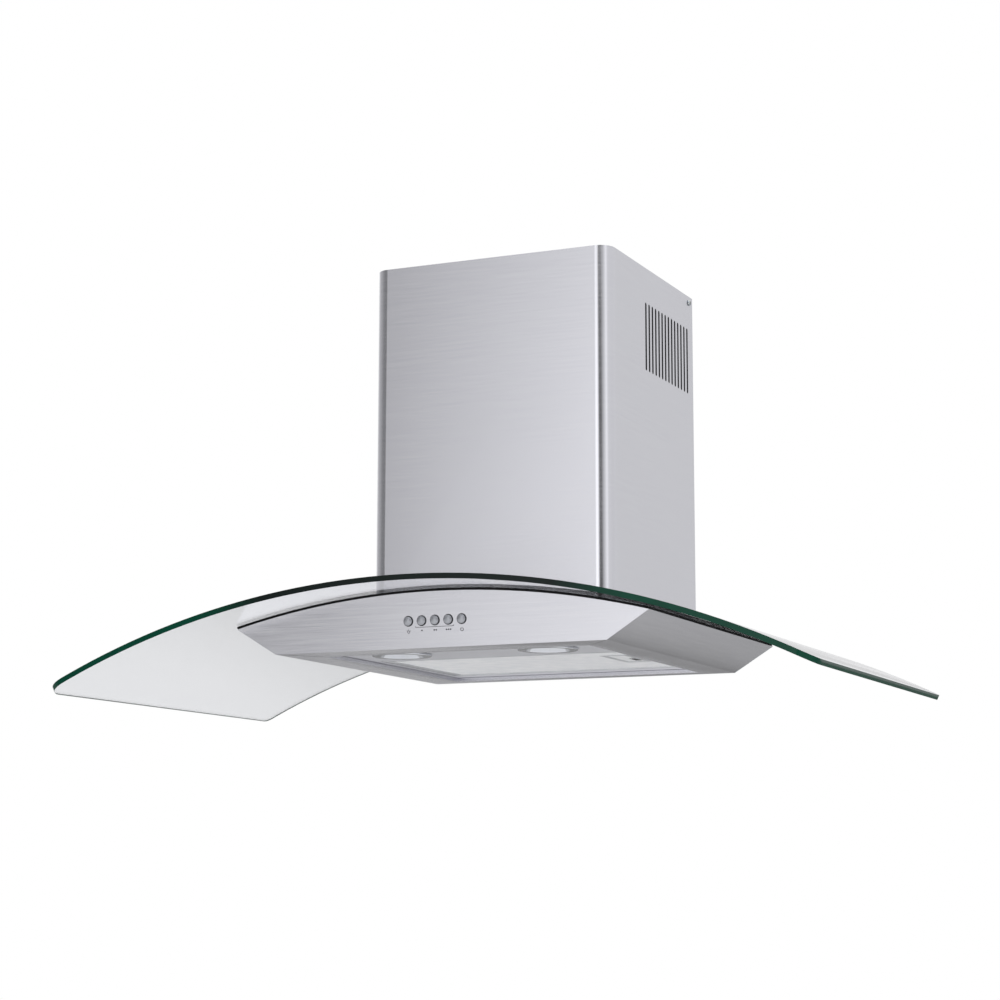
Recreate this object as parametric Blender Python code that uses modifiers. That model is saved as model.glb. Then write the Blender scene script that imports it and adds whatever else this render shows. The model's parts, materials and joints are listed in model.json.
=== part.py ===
"""Wall-mounted range hood with an arched glass visor.

Metres. X runs to the right as one faces the hood, Y runs back to the wall, Z is up. The origin is on the
wall plane, in the middle of the canopy's flat back panel. Every moving piece has its origin on its joint.
"""

import math

import bmesh
import bpy
from mathutils import Matrix, Vector

# Driving dimensions
CANOPY_BOTTOM = -0.030
SHEET = 0.0012
GAP = 0.0003

# Glass: a flat sheet bent over an arch whose axis runs front to back
GLASS_WIDTH = 0.898
GLASS_FRONT = -0.4970
GLASS_BACK = -0.0010
GLASS_THICKNESS = 0.006
GLASS_CROWN = CANOPY_BOTTOM + 0.0699
ARCH_RADIUS = 1.0085
ARCH_CENTRE_Z = GLASS_CROWN - ARCH_RADIUS
ARCH_STRIP = 0.0180
GASKET_SPACE = 0.003
BODY_RADIUS = ARCH_RADIUS - GLASS_THICKNESS - GASKET_SPACE
CUTOUT_HALF_WIDTH = 0.1185
CUTOUT_FRONT = -0.2460
BOLT_ANGLE = math.radians(7.5)
BOLT_ROWS = (-0.222, -0.050)

# Canopy
CANOPY_HALF_BOTTOM = 0.1987
CANOPY_HALF_TOP = 0.2471
CANOPY_FRONT = -0.4145
CANOPY_REAR = -SHEET - GAP
FRONT_LEAN = math.radians(5.5)
OPENING_HALF_WIDTH = 0.160
OPENING_FRONT = -0.3675
OPENING_REAR = -0.0240
LIP_TOP = CANOPY_BOTTOM + 0.0045
PANEL_BOTTOM = LIP_TOP + GAP
PANEL_TOP = PANEL_BOTTOM + SHEET

# Chimney cover
CHIMNEY_HALF_WIDTH = 0.150
CHIMNEY_FRONT = -0.2797
CHIMNEY_REAR = -0.0005
CHIMNEY_TOP = CANOPY_BOTTOM + 0.4676
CHIMNEY_CORNER = 0.018
CHIMNEY_SHEET = 0.001
SLOT_COUNT = 14
SLOT_PITCH = 0.0109
SLOT_WIDTH = 0.0048
SLOT_LENGTH = 0.082
SLOT_FIRST_Y = -0.0210
SLOT_TOP = CHIMNEY_TOP - 0.042
COVER_SCREW_Y = -0.013
COVER_SCREW_Z = CHIMNEY_TOP - 0.008
LINER_THICKNESS = 0.0025
LINER_MARGIN = 0.006

# Blower, behind the chimney cover
BOX_HALF_WIDTH = 0.110
BOX_FRONT = -0.240
BOX_REAR = -0.0023
BOX_TOP = CANOPY_BOTTOM + 0.290
BOX_SHEET = 0.001
SUCTION_HALF_WIDTH = 0.100
SUCTION_FRONT = -0.225
SUCTION_REAR = -0.030
WHEEL_Y = -0.105
WHEEL_Z = CANOPY_BOTTOM + 0.165
WHEEL_RADIUS = 0.070
WHEEL_HALF_LENGTH = 0.044
BLADE_COUNT = 16
SCROLL_HALF_WIDTH = 0.050
SCROLL_START_RADIUS = 0.076
SCROLL_END_RADIUS = 0.098
SCROLL_WALL = 0.0015
INLET_RADIUS = 0.050
MOTOR_RADIUS = 0.040
SHAFT_RADIUS = 0.004
COLLAR_Y = -0.160
COLLAR_RADIUS = 0.060
COLLAR_WALL = 0.0015
COLLAR_HEIGHT = 0.060
DAMPER_Z = BOX_TOP + 0.034
DAMPER_PIN_RADIUS = 0.0015
HANGER_SCREW_Z = CANOPY_BOTTOM + 0.255

# Wiring, on the right of the blower box
JUNCTION_LOW = (BOX_HALF_WIDTH + GAP, -0.200, CANOPY_BOTTOM + 0.150)
JUNCTION_HIGH = (JUNCTION_LOW[0] + 0.028, -0.120, CANOPY_BOTTOM + 0.230)
JUNCTION_WALL = 0.002
MOTOR_LEAD_RADIUS = 0.022
MOTOR_LEAD_END = (JUNCTION_LOW[0] - GAP, -0.150, CANOPY_BOTTOM + 0.190)
LEAD_DROP = (0.1150, -0.160)
LEAD_THICKNESS = 0.0025

# Grease filter, which swings down about its left edge
FILTER_LEFT = -0.1480
FILTER_RIGHT = 0.1490
FILTER_FRONT = -0.2520
FILTER_REAR = -0.0460
FILTER_RIM = 0.008
FILTER_BOTTOM = PANEL_BOTTOM
FILTER_TOP = FILTER_BOTTOM + 0.009
FILTER_OPENING = ((-0.1505, -0.2535), (0.1505, -0.0445))
FILTER_OPENING_CORNER = 0.002
FILTER_HINGE_Z = PANEL_TOP + 0.0006
LATCH_Y = -0.152
LATCH_TRAY = ((0.1070, -0.2090), (FILTER_RIGHT - FILTER_RIM - GAP, -0.1250))
POCKET = ((0.1130, -0.2020), (0.1345, -0.1320))
TONGUE_BOTTOM = PANEL_TOP + 0.0008
TONGUE_TOP = TONGUE_BOTTOM + 0.0015
TONGUE_HALF_WIDTH = 0.006

# Lamps and switches
LAMP_X = 0.090
LAMP_Y = -0.317
LAMP_HOLE_RADIUS = 0.028
LAMP_BASE = PANEL_BOTTOM - 0.0026
LAMP_TOP = LAMP_BASE + 0.0310
BUTTON_COUNT = 5
BUTTON_PITCH = 0.016
BUTTON_RADIUS = 0.005
BUTTON_Z = CANOPY_BOTTOM + 0.0295
BUTTON_STEM_RADIUS = 0.0022

# Colour (linear), roughness and metallic value of each finish
FINISHES = {
    "brushed_steel": ((0.55, 0.55, 0.57, 1.0), 0.34, 1.0),
    "galvanised_steel": ((0.42, 0.44, 0.46, 1.0), 0.45, 1.0),
    "aluminium": ((0.74, 0.75, 0.76, 1.0), 0.40, 1.0),
    "zinc_screw": ((0.60, 0.60, 0.58, 1.0), 0.30, 1.0),
    "chrome": ((0.78, 0.78, 0.80, 1.0), 0.12, 1.0),
    "clear_glass": ((0.72, 0.86, 0.80, 0.35), 0.03, 0.0),
    "frosted_glass": ((0.90, 0.91, 0.92, 0.60), 0.30, 0.0),
    "black_rubber": ((0.010, 0.010, 0.012, 1.0), 0.75, 0.0),
    "black_plastic": ((0.020, 0.020, 0.022, 1.0), 0.50, 0.0),
    "grey_plastic": ((0.30, 0.31, 0.32, 1.0), 0.50, 0.0),
    "white_plastic": ((0.75, 0.75, 0.73, 1.0), 0.45, 0.0),
}

for old in list(bpy.data.objects):
    bpy.data.objects.remove(old, do_unlink=True)

PARTS = bpy.data.collections.new("range_hood")
CUTTERS = bpy.data.collections.new("range_hood_cutters")
bpy.context.scene.collection.children.link(PARTS)
bpy.context.scene.collection.children.link(CUTTERS)


# ---------------------------------------------------------------- modelling helpers


def object_from(name, mesh):
    """A new object in the parts collection."""
    obj = bpy.data.objects.new(name, mesh)
    PARTS.objects.link(obj)
    return obj


def mesh_from(name, bm):
    bmesh.ops.recalc_face_normals(bm, faces=bm.faces)
    mesh = bpy.data.meshes.new(name)
    bm.to_mesh(mesh)
    bm.free()
    return mesh


def box(name, low, high):
    """A block between two opposite corners."""
    bm = bmesh.new()
    bmesh.ops.create_cube(bm, size=1.0)
    size = [b - a for a, b in zip(low, high)]
    middle = [(a + b) / 2 for a, b in zip(low, high)]
    bmesh.ops.scale(bm, vec=size, verts=bm.verts)
    bmesh.ops.translate(bm, vec=middle, verts=bm.verts)
    return object_from(name, mesh_from(name, bm))


def cylinder(name, radius, low, high, steps=24):
    """A round bar along its own Z axis."""
    bm = bmesh.new()
    bmesh.ops.create_cone(
        bm, cap_ends=True, segments=steps, radius1=radius, radius2=radius, depth=high - low
    )
    bmesh.ops.translate(bm, vec=(0, 0, (low + high) / 2), verts=bm.verts)
    return object_from(name, mesh_from(name, bm))


def evaluated_mesh(obj):
    """The object's mesh with its modifiers applied, in its own space."""
    bpy.context.view_layer.update()
    depsgraph = bpy.context.evaluated_depsgraph_get()
    return bpy.data.meshes.new_from_object(obj.evaluated_get(depsgraph))


PLANES = {
    "Z": Matrix.Identity(4),
    "Y": Matrix(((1, 0, 0, 0), (0, 0, -1, 0), (0, 1, 0, 0), (0, 0, 0, 1))),
    "X": Matrix(((0, 0, 1, 0), (1, 0, 0, 0), (0, 1, 0, 0), (0, 0, 0, 1))),
}


def prism(name, outline, axis, low, high):
    """A flat closed outline, extruded along an axis. Outlines along Y are (x, z), along X (y, z)."""
    curve = bpy.data.curves.new(name, "CURVE")
    curve.dimensions = "2D"
    curve.fill_mode = "BOTH"
    curve.extrude = (high - low) / 2
    spline = curve.splines.new("POLY")
    spline.points.add(len(outline) - 1)
    for point, (u, v) in zip(spline.points, outline):
        point.co = (u, v, 0, 1)
    spline.use_cyclic_u = True
    source = bpy.data.objects.new(name + "_outline", curve)
    bpy.context.scene.collection.objects.link(source)
    mesh = evaluated_mesh(source)
    bpy.data.objects.remove(source, do_unlink=True)
    shift = {"X": (1, 0, 0), "Y": (0, 1, 0), "Z": (0, 0, 1)}[axis]
    mesh.transform(Matrix.Translation(Vector(shift) * (low + high) / 2) @ PLANES[axis])
    bm = bmesh.new()
    bm.from_mesh(mesh)
    bmesh.ops.remove_doubles(bm, verts=bm.verts, dist=1e-6)
    bpy.data.meshes.remove(mesh)
    return object_from(name, mesh_from(name, bm))


def turned(name, profile, steps=24, ring=False):
    """A profile of (radius, height) points turned about the object's own Z axis.

    A solid piece's profile runs down its outer side from the axis to the axis; a ring's is a closed loop.
    """
    mesh = bpy.data.meshes.new(name)
    edges = [(i, i + 1) for i in range(len(profile) - 1)]
    if ring:
        edges.append((len(profile) - 1, 0))
    mesh.from_pydata([(radius, 0, height) for radius, height in profile], edges, [])
    obj = object_from(name, mesh)
    screw = obj.modifiers.new("turn", "SCREW")
    screw.axis = "Z"
    screw.steps = steps
    screw.render_steps = steps
    screw.use_merge_vertices = True
    screw.merge_threshold = 1e-5
    screw.use_normal_calculate = True
    return baked(obj)


def tube(name, points, radius, spacing=0.012):
    """A round lead through a smooth curve near the given points, with closed ends."""
    path = smooth_path(points, spacing)
    curve = bpy.data.curves.new(name, "CURVE")
    curve.dimensions = "3D"
    curve.bevel_depth = radius
    curve.bevel_resolution = 2
    curve.use_fill_caps = True
    spline = curve.splines.new("POLY")
    spline.points.add(len(path) - 1)
    for point, place in zip(spline.points, path):
        point.co = (*place, 1)
    obj = bpy.data.objects.new(name, curve)
    PARTS.objects.link(obj)
    return obj


def smooth_path(points, spacing):
    """Points about a spacing apart along a Catmull-Rom curve through the given points."""
    knots = [Vector(p) for p in points]
    ends = [2 * knots[0] - knots[1]] + knots + [2 * knots[-1] - knots[-2]]
    path = []
    for before, start, end, after in zip(ends, ends[1:], ends[2:], ends[3:]):
        count = max(2, round((end - start).length / spacing))
        for i in range(count):
            t = i / count
            path.append(
                0.5
                * (
                    2 * start
                    + (end - before) * t
                    + (2 * before - 5 * start + 4 * end - after) * t**2
                    + (3 * start - before - 3 * end + after) * t**3
                )
            )
    path.append(knots[-1])
    return path


def baked(obj):
    """Replaces the object's mesh with the one its modifiers make."""
    mesh = evaluated_mesh(obj)
    obj.modifiers.clear()
    bm = bmesh.new()
    bm.from_mesh(mesh)
    bpy.data.meshes.remove(mesh)
    bmesh.ops.remove_doubles(bm, verts=bm.verts, dist=1e-6)
    obj.data = mesh_from(obj.name, bm)
    return obj


def combine(obj, other, operation):
    """A Boolean with another object, which becomes a cutter or guide."""
    modifier = obj.modifiers.new(operation.lower(), "BOOLEAN")
    modifier.operation = operation
    modifier.solver = "EXACT"
    modifier.object = other
    other.hide_render = True
    other.display_type = "WIRE"
    PARTS.objects.unlink(other)
    CUTTERS.objects.link(other)


def cut(obj, *others):
    for other in others:
        combine(obj, other, "DIFFERENCE")


def join(obj, *others):
    for other in others:
        combine(obj, other, "UNION")


def arc(centre, radius, start, end, steps):
    """Points on an arc, angles in degrees."""
    angles = [math.radians(start + (end - start) * i / steps) for i in range(steps + 1)]
    return [(centre[0] + radius * math.cos(a), centre[1] + radius * math.sin(a)) for a in angles]


def rectangle(low, high, radius=0.0, steps=5):
    """A rectangle's outline, with its corners rounded if a radius is given."""
    (left, bottom), (right, top) = low, high
    if not radius:
        return [(left, bottom), (right, bottom), (right, top), (left, top)]
    corners = (
        (right - radius, bottom + radius, -90),
        (right - radius, top - radius, 0),
        (left + radius, top - radius, 90),
        (left + radius, bottom + radius, 180),
    )
    outline = []
    for x, y, angle in corners:
        outline += arc((x, y), radius, angle, angle + 90, steps)
    return outline


def set_origin(obj, place):
    """Moves the object's origin, and leaves its shape where it is."""
    obj.data.transform(Matrix.Translation(-Vector(place)))
    obj.location = place


def turn_to_x(obj, place):
    """Lays a piece that was turned about Z along X, at a place."""
    obj.data.transform(Matrix.Rotation(math.radians(90), 4, "Y"))
    obj.location = place


def finish(obj, name):
    """Gives the object its own material and shades its round faces smooth."""
    colour, roughness, metallic = FINISHES[name]
    material = bpy.data.materials.new(obj.name)
    material.use_nodes = True
    shader = material.node_tree.nodes["Principled BSDF"]
    shader.inputs["Base Color"].default_value = colour
    shader.inputs["Roughness"].default_value = roughness
    shader.inputs["Metallic"].default_value = metallic
    obj.data.materials.append(material)
    if obj.type == "MESH":
        obj.data.shade_smooth()
        obj.data.set_sharp_from_angle(angle=math.radians(30))
    return obj


# ---------------------------------------------------------------- the arch and the leaning front


def arch_z(radius, x):
    """Height of a surface that is concentric with the glass."""
    return ARCH_CENTRE_Z + math.sqrt(radius**2 - x**2)


def arch_angle(radius, x):
    return math.asin(x / radius)


def arch_points(radius, half_width, steps=28):
    """Points (x, z) along the arch from right to left."""
    limit = arch_angle(radius, half_width)
    angles = [limit - 2 * limit * i / steps for i in range(steps + 1)]
    return [(radius * math.sin(a), ARCH_CENTRE_Z + radius * math.cos(a)) for a in angles]


def below_arch(name, radius, half_width):
    """A cutter that takes away everything under the arch, down past the canopy's bottom."""
    floor = CANOPY_BOTTOM - 0.05
    outline = [(-half_width, floor), (half_width, floor)] + arch_points(radius, half_width)
    return prism(name, outline, "Y", GLASS_FRONT - 0.05, 0.05)


def bend(obj, radius):
    """Bends a flat sheet over the arch. The sheet's z = 0 ends up at the given radius."""
    baked(obj)
    bm = bmesh.new()
    bm.from_mesh(obj.data)
    bmesh.ops.dissolve_limit(bm, angle_limit=math.radians(0.1), verts=bm.verts, edges=bm.edges)
    reach = max(v.co.x for v in bm.verts)
    for i in range(-math.ceil(reach / ARCH_STRIP), math.ceil(reach / ARCH_STRIP) + 1):
        geometry = bm.verts[:] + bm.edges[:] + bm.faces[:]
        bmesh.ops.bisect_plane(
            bm, geom=geometry, dist=1e-6, plane_co=(i * ARCH_STRIP, 0, 0), plane_no=(1, 0, 0)
        )
    for vertex in bm.verts:
        angle = vertex.co.x / radius
        distance = radius + vertex.co.z
        vertex.co.x = distance * math.sin(angle)
        vertex.co.z = ARCH_CENTRE_Z + distance * math.cos(angle)
    within_strip = ARCH_STRIP / radius * 0.4
    bmesh.ops.dissolve_limit(bm, angle_limit=within_strip, verts=bm.verts, edges=bm.edges)
    obj.data = mesh_from(obj.name, bm)
    return obj


def front_y(z):
    """Outer face of the canopy's front at a height: it leans outwards as it rises."""
    return CANOPY_FRONT - math.tan(FRONT_LEAN) * (z - CANOPY_BOTTOM)


def lean_front(obj, behind=0.0, beyond=-0.35):
    """Moves the front end's points onto a plane parallel to the canopy's front."""
    for vertex in obj.data.vertices:
        if vertex.co.y < beyond:
            vertex.co.y = front_y(vertex.co.z) + behind


def side_x(z):
    """Outer face of the canopy's right side at a height."""
    rise = arch_z(BODY_RADIUS, CANOPY_HALF_TOP) - CANOPY_BOTTOM
    slope = (CANOPY_HALF_TOP - CANOPY_HALF_BOTTOM) / rise
    return CANOPY_HALF_BOTTOM + slope * (z - CANOPY_BOTTOM)


def side_wall_run():
    """How far the sloped side's sheet reaches, measured level."""
    rise = arch_z(BODY_RADIUS, CANOPY_HALF_TOP) - CANOPY_BOTTOM
    return SHEET * math.hypot(rise, CANOPY_HALF_TOP - CANOPY_HALF_BOTTOM) / rise


def canopy_section():
    """The canopy's outline seen from the front, (x, z)."""
    bottom = [(-CANOPY_HALF_BOTTOM, CANOPY_BOTTOM), (CANOPY_HALF_BOTTOM, CANOPY_BOTTOM)]
    return bottom + arch_points(BODY_RADIUS, CANOPY_HALF_TOP)


# ---------------------------------------------------------------- canopy


def front_frame():
    """An empty on the canopy's front face at the buttons' height, with its Z axis out of the face."""
    empty = bpy.data.objects.new("front_frame", None)
    PARTS.objects.link(empty)
    empty.location = (0, front_y(BUTTON_Z), BUTTON_Z)
    empty.rotation_euler = (math.radians(90) + FRONT_LEAN, 0, 0)
    bpy.context.view_layer.update()
    return empty


def button_places():
    return [(i - (BUTTON_COUNT - 1) / 2) * BUTTON_PITCH for i in range(BUTTON_COUNT)]


def place_on_front(obj, frame, place):
    obj.parent = frame
    obj.location = place


def canopy_shell(frame):
    """Front and sides of folded sheet, with a return flange below and an upturned lip round its opening."""
    shell = prism("canopy_shell", canopy_section(), "Y", -0.45, CANOPY_REAR)
    lean_front(shell)
    floor = CANOPY_BOTTOM + SHEET
    ceiling = CANOPY_BOTTOM + 0.12
    run = side_wall_run()
    inside = [
        (-side_x(floor) + run, floor),
        (side_x(floor) - run, floor),
        (side_x(ceiling) - run, ceiling),
        (-side_x(ceiling) + run, ceiling),
    ]
    void = prism("canopy_void", inside, "Y", -0.45, 0.02)
    lean_front(void, behind=SHEET / math.cos(FRONT_LEAN))
    lip = box(
        "canopy_lip",
        (-OPENING_HALF_WIDTH - SHEET, OPENING_FRONT - SHEET, CANOPY_BOTTOM + SHEET / 2),
        (OPENING_HALF_WIDTH + SHEET, OPENING_REAR + SHEET, LIP_TOP),
    )
    opening = box(
        "canopy_opening",
        (-OPENING_HALF_WIDTH, OPENING_FRONT, CANOPY_BOTTOM - 0.01),
        (OPENING_HALF_WIDTH, OPENING_REAR, LIP_TOP + 0.01),
    )
    cut(shell, void)
    join(shell, lip)
    cut(shell, opening)
    for number, x in enumerate(button_places(), start=1):
        hole = cylinder(f"button_hole_{number}", BUTTON_RADIUS + 0.0004, -0.01, 0.01, steps=20)
        place_on_front(hole, frame, (x, 0, 0))
        cut(shell, hole)
    finish(shell, "brushed_steel")


def canopy_back_panel():
    """Flat sheet against the wall."""
    panel = prism("canopy_back_panel", canopy_section(), "Y", -SHEET, 0.0)
    for side, x in (("left", -0.09), ("right", 0.09)):
        hole = cylinder(f"safety_screw_hole_{side}", 0.0025, -0.01, 0.01, steps=12)
        hole.rotation_euler = (math.radians(90), 0, 0)
        hole.location = (x, 0, 0)
        cut(panel, hole)
    finish(panel, "galvanised_steel")


def canopy_top_plate():
    """Arched sheet inside the canopy's upper edge, with the suction opening and the bolt and lead holes."""
    inner = side_x(arch_z(BODY_RADIUS - SHEET, CANOPY_HALF_TOP)) - side_wall_run() - GAP
    half = BODY_RADIUS * arch_angle(BODY_RADIUS, inner)
    front = front_y(CANOPY_BOTTOM + 0.0285) + SHEET + GAP
    plate = box("canopy_top_plate", (-half, front, -SHEET), (half, CANOPY_REAR - GAP, 0))
    opening = rectangle(
        (-SUCTION_HALF_WIDTH, SUCTION_FRONT), (SUCTION_HALF_WIDTH, SUCTION_REAR), 0.010, 3
    )
    cut(plate, prism("suction_opening", opening, "Z", -0.01, 0.01))
    for number, (angle, y) in enumerate(bolt_places(), start=1):
        hole = cylinder(f"plate_bolt_hole_{number}", 0.0036, -0.01, 0.01, steps=12)
        hole.location = (angle * BODY_RADIUS, y, 0)
        cut(plate, hole)
    lead_hole = cylinder("lead_hole", 0.0050, -0.01, 0.01, steps=12)
    lead_hole.location = (LEAD_DROP[0], LEAD_DROP[1], 0)
    cut(plate, lead_hole)
    bend(plate, BODY_RADIUS)
    finish(plate, "galvanised_steel")


def bottom_panel():
    """Sheet above the flange's lip, with the two lamp holes and the filter opening."""
    edge = 0.005
    panel = box(
        "bottom_panel",
        (-OPENING_HALF_WIDTH - edge, OPENING_FRONT - edge, PANEL_BOTTOM),
        (OPENING_HALF_WIDTH + edge, OPENING_REAR + edge, PANEL_TOP),
    )
    opening = rectangle(*FILTER_OPENING, FILTER_OPENING_CORNER, 3)
    cut(panel, prism("filter_opening", opening, "Z", PANEL_BOTTOM - 0.01, PANEL_TOP + 0.01))
    for side, x in (("left", -LAMP_X), ("right", LAMP_X)):
        hole = cylinder(f"lamp_hole_{side}", LAMP_HOLE_RADIUS, -0.01, 0.01, steps=28)
        hole.location = (x, LAMP_Y, PANEL_BOTTOM)
        cut(panel, hole)
    finish(panel, "brushed_steel")


# ---------------------------------------------------------------- glass


def bolt_places():
    """The glass bolts' places, (angle round the arch, y)."""
    return [(angle, y) for angle in (-BOLT_ANGLE, BOLT_ANGLE) for y in BOLT_ROWS]


def glass_visor():
    """A sheet with rounded corners and a cut-out for the blower, bent over the arch."""
    half = ARCH_RADIUS * arch_angle(ARCH_RADIUS, GLASS_WIDTH / 2)
    front = 0.025
    rear = 0.008
    outline = arc((half - front, GLASS_FRONT + front), front, -90, 0, 8)
    outline += arc((half - rear, GLASS_BACK - rear), rear, 0, 90, 4)
    outline += arc((-half + rear, GLASS_BACK - rear), rear, 90, 180, 4)
    outline += arc((-half + front, GLASS_FRONT + front), front, 180, 270, 8)
    glass = prism("glass_visor", outline, "Z", -GLASS_THICKNESS, 0.0)
    notch = rectangle((-CUTOUT_HALF_WIDTH, CUTOUT_FRONT), (CUTOUT_HALF_WIDTH, 0.05), 0.010, 4)
    cut(glass, prism("blower_cutout", notch, "Z", -0.02, 0.02))
    for number, (angle, y) in enumerate(bolt_places(), start=1):
        hole = cylinder(f"glass_bolt_hole_{number}", 0.0045, -0.02, 0.02, steps=12)
        hole.location = (angle * ARCH_RADIUS, y, 0)
        cut(glass, hole)
    bend(glass, ARCH_RADIUS)
    finish(glass, "clear_glass")


def glass_gasket():
    """Rubber strip round the canopy's upper edge, under the glass, open at the rear behind the blower."""
    width = 0.012
    radius = ARCH_RADIUS - GLASS_THICKNESS - GAP
    thickness = GASKET_SPACE - 2 * GAP
    half = radius * arch_angle(radius, CANOPY_HALF_TOP)
    gasket = box("glass_gasket", (-half, CANOPY_FRONT, -thickness), (half, CANOPY_REAR, 0))
    middle = box(
        "gasket_middle",
        (-half + width, CANOPY_FRONT + width, -0.02),
        (half - width, CANOPY_REAR - width, 0.02),
    )
    blower_gap = box(
        "gasket_blower_gap",
        (-CUTOUT_HALF_WIDTH, CUTOUT_FRONT, -0.02),
        (CUTOUT_HALF_WIDTH, 0.02, 0.02),
    )
    cut(gasket, middle, blower_gap)
    bend(gasket, radius)
    for vertex in gasket.data.vertices:
        if vertex.co.y < CANOPY_FRONT + 2 * width:
            vertex.co.y += front_y(vertex.co.z) - CANOPY_FRONT
    finish(gasket, "black_rubber")


def glass_bolts():
    """Pan-head bolts through the glass into the top plate, square to the arch."""
    profile = [
        (0.0, 0.0052),
        (0.0045, 0.0046),
        (0.0070, 0.0022),
        (0.0070, GAP),
        (0.0030, GAP),
        (0.0030, -0.0150),
        (0.0, -0.0150),
    ]
    for number, (angle, y) in enumerate(bolt_places(), start=1):
        bolt = turned(f"glass_bolt_{number}", profile, steps=10)
        bolt.rotation_euler = (0, angle, 0)
        bolt.location = (
            ARCH_RADIUS * math.sin(angle),
            y,
            ARCH_CENTRE_Z + ARCH_RADIUS * math.cos(angle),
        )
        finish(bolt, "zinc_screw")


# ---------------------------------------------------------------- chimney


def bent_strip(name, path, low, high, thickness):
    """Sheet metal bent along a path in plan, standing between two heights. The path is its outer face."""
    bm = bmesh.new()
    points = [bm.verts.new((x, y, low)) for x, y in path]
    edges = [bm.edges.new(pair) for pair in zip(points, points[1:])]
    raised = bmesh.ops.extrude_edge_only(bm, edges=edges)["geom"]
    upper = [item for item in raised if isinstance(item, bmesh.types.BMVert)]
    bmesh.ops.translate(bm, vec=(0, 0, high - low), verts=upper)
    mesh = bpy.data.meshes.new(name)
    bm.to_mesh(mesh)
    bm.free()
    strip = object_from(name, mesh)
    solidify = strip.modifiers.new("sheet", "SOLIDIFY")
    solidify.thickness = thickness
    solidify.offset = 1.0
    solidify.use_even_offset = True
    return baked(strip)


def chimney_path():
    """The cover's outer face in plan, from the rear left edge round the front to the rear right edge."""
    left = (-CHIMNEY_HALF_WIDTH + CHIMNEY_CORNER, CHIMNEY_FRONT + CHIMNEY_CORNER)
    right = (CHIMNEY_HALF_WIDTH - CHIMNEY_CORNER, CHIMNEY_FRONT + CHIMNEY_CORNER)
    path = [(-CHIMNEY_HALF_WIDTH, CHIMNEY_REAR)]
    path += arc(left, CHIMNEY_CORNER, 180, 270, 8)
    path += arc(right, CHIMNEY_CORNER, 270, 360, 8)
    path += [(CHIMNEY_HALF_WIDTH, CHIMNEY_REAR)]
    return path


def chimney_cover():
    """Folded cover with slotted sides, its lower edge cut to the glass."""
    low = CANOPY_BOTTOM + 0.05
    cover = bent_strip("chimney_cover", chimney_path(), low, CHIMNEY_TOP, CHIMNEY_SHEET)
    cut(cover, below_arch("glass_line", ARCH_RADIUS + 0.0005, 0.2))
    radius = SLOT_WIDTH / 2
    for number in range(SLOT_COUNT):
        y = SLOT_FIRST_Y - number * SLOT_PITCH
        low_corner = (y - radius, SLOT_TOP - SLOT_LENGTH)
        high_corner = (y + radius, SLOT_TOP)
        outline = rectangle(low_corner, high_corner, radius * 0.999, 3)
        cut(cover, prism(f"vent_slot_{number + 1}", outline, "X", -0.2, 0.2))
    hole = cylinder("cover_screw_holes", 0.0020, -0.2, 0.2, steps=12)
    turn_to_x(hole, (0, COVER_SCREW_Y, COVER_SCREW_Z))
    cut(cover, hole)
    finish(cover, "brushed_steel")


def vent_liners():
    """Black cellular rubber stuck behind the slots, so that the blower can't be seen through them."""
    outer = CHIMNEY_HALF_WIDTH - CHIMNEY_SHEET - GAP
    inner = outer - LINER_THICKNESS
    rear = SLOT_FIRST_Y + LINER_MARGIN
    front = SLOT_FIRST_Y - (SLOT_COUNT - 1) * SLOT_PITCH - LINER_MARGIN
    low = SLOT_TOP - SLOT_LENGTH - LINER_MARGIN
    high = SLOT_TOP + LINER_MARGIN
    left = box("vent_liner_left", (-outer, front, low), (-inner, rear, high))
    right = box("vent_liner_right", (inner, front, low), (outer, rear, high))
    finish(left, "black_rubber")
    finish(right, "black_rubber")


def chimney_wall_bracket():
    """Strip screwed to the wall, with two forward tabs that the cover is screwed to."""
    thickness = 0.0015
    half = CHIMNEY_HALF_WIDTH - CHIMNEY_SHEET - GAP
    path = [(-half, 0), (-half, -0.027), (-half + thickness, -0.027)]
    path += [(-half + thickness, -thickness), (half - thickness, -thickness)]
    path += [(half - thickness, -0.027), (half, -0.027), (half, 0)]
    bracket = prism("chimney_wall_bracket", path, "Z", CHIMNEY_TOP - 0.028, CHIMNEY_TOP - 0.003)
    hole = cylinder("bracket_tab_holes", 0.0018, -0.2, 0.2, steps=12)
    turn_to_x(hole, (0, COVER_SCREW_Y, COVER_SCREW_Z))
    cut(bracket, hole)
    for side, x in (("left", -0.075), ("right", 0.075)):
        slot = rectangle((x - 0.006, -0.0025), (x + 0.006, 0.0025), 0.00249, 3)
        wall_slot = prism(f"wall_slot_{side}", slot, "Y", -0.01, 0.01)
        wall_slot.location = (0, 0, CHIMNEY_TOP - 0.0155)
        cut(bracket, wall_slot)
    finish(bracket, "galvanised_steel")


def chimney_screws():
    profile = [
        (0.0, 0.0023),
        (0.0026, 0.0020),
        (0.0040, 0.0008),
        (0.0040, 0.0),
        (0.0015, 0.0),
        (0.0015, -0.007),
        (0.0, -0.007),
    ]
    for side, sign in (("left", -1), ("right", 1)):
        screw = turned(f"chimney_screw_{side}", profile, steps=10)
        screw.data.transform(Matrix.Rotation(sign * math.radians(90), 4, "Y"))
        screw.location = (sign * (CHIMNEY_HALF_WIDTH + GAP), COVER_SCREW_Y, COVER_SCREW_Z)
        finish(screw, "zinc_screw")


# ---------------------------------------------------------------- blower


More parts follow.
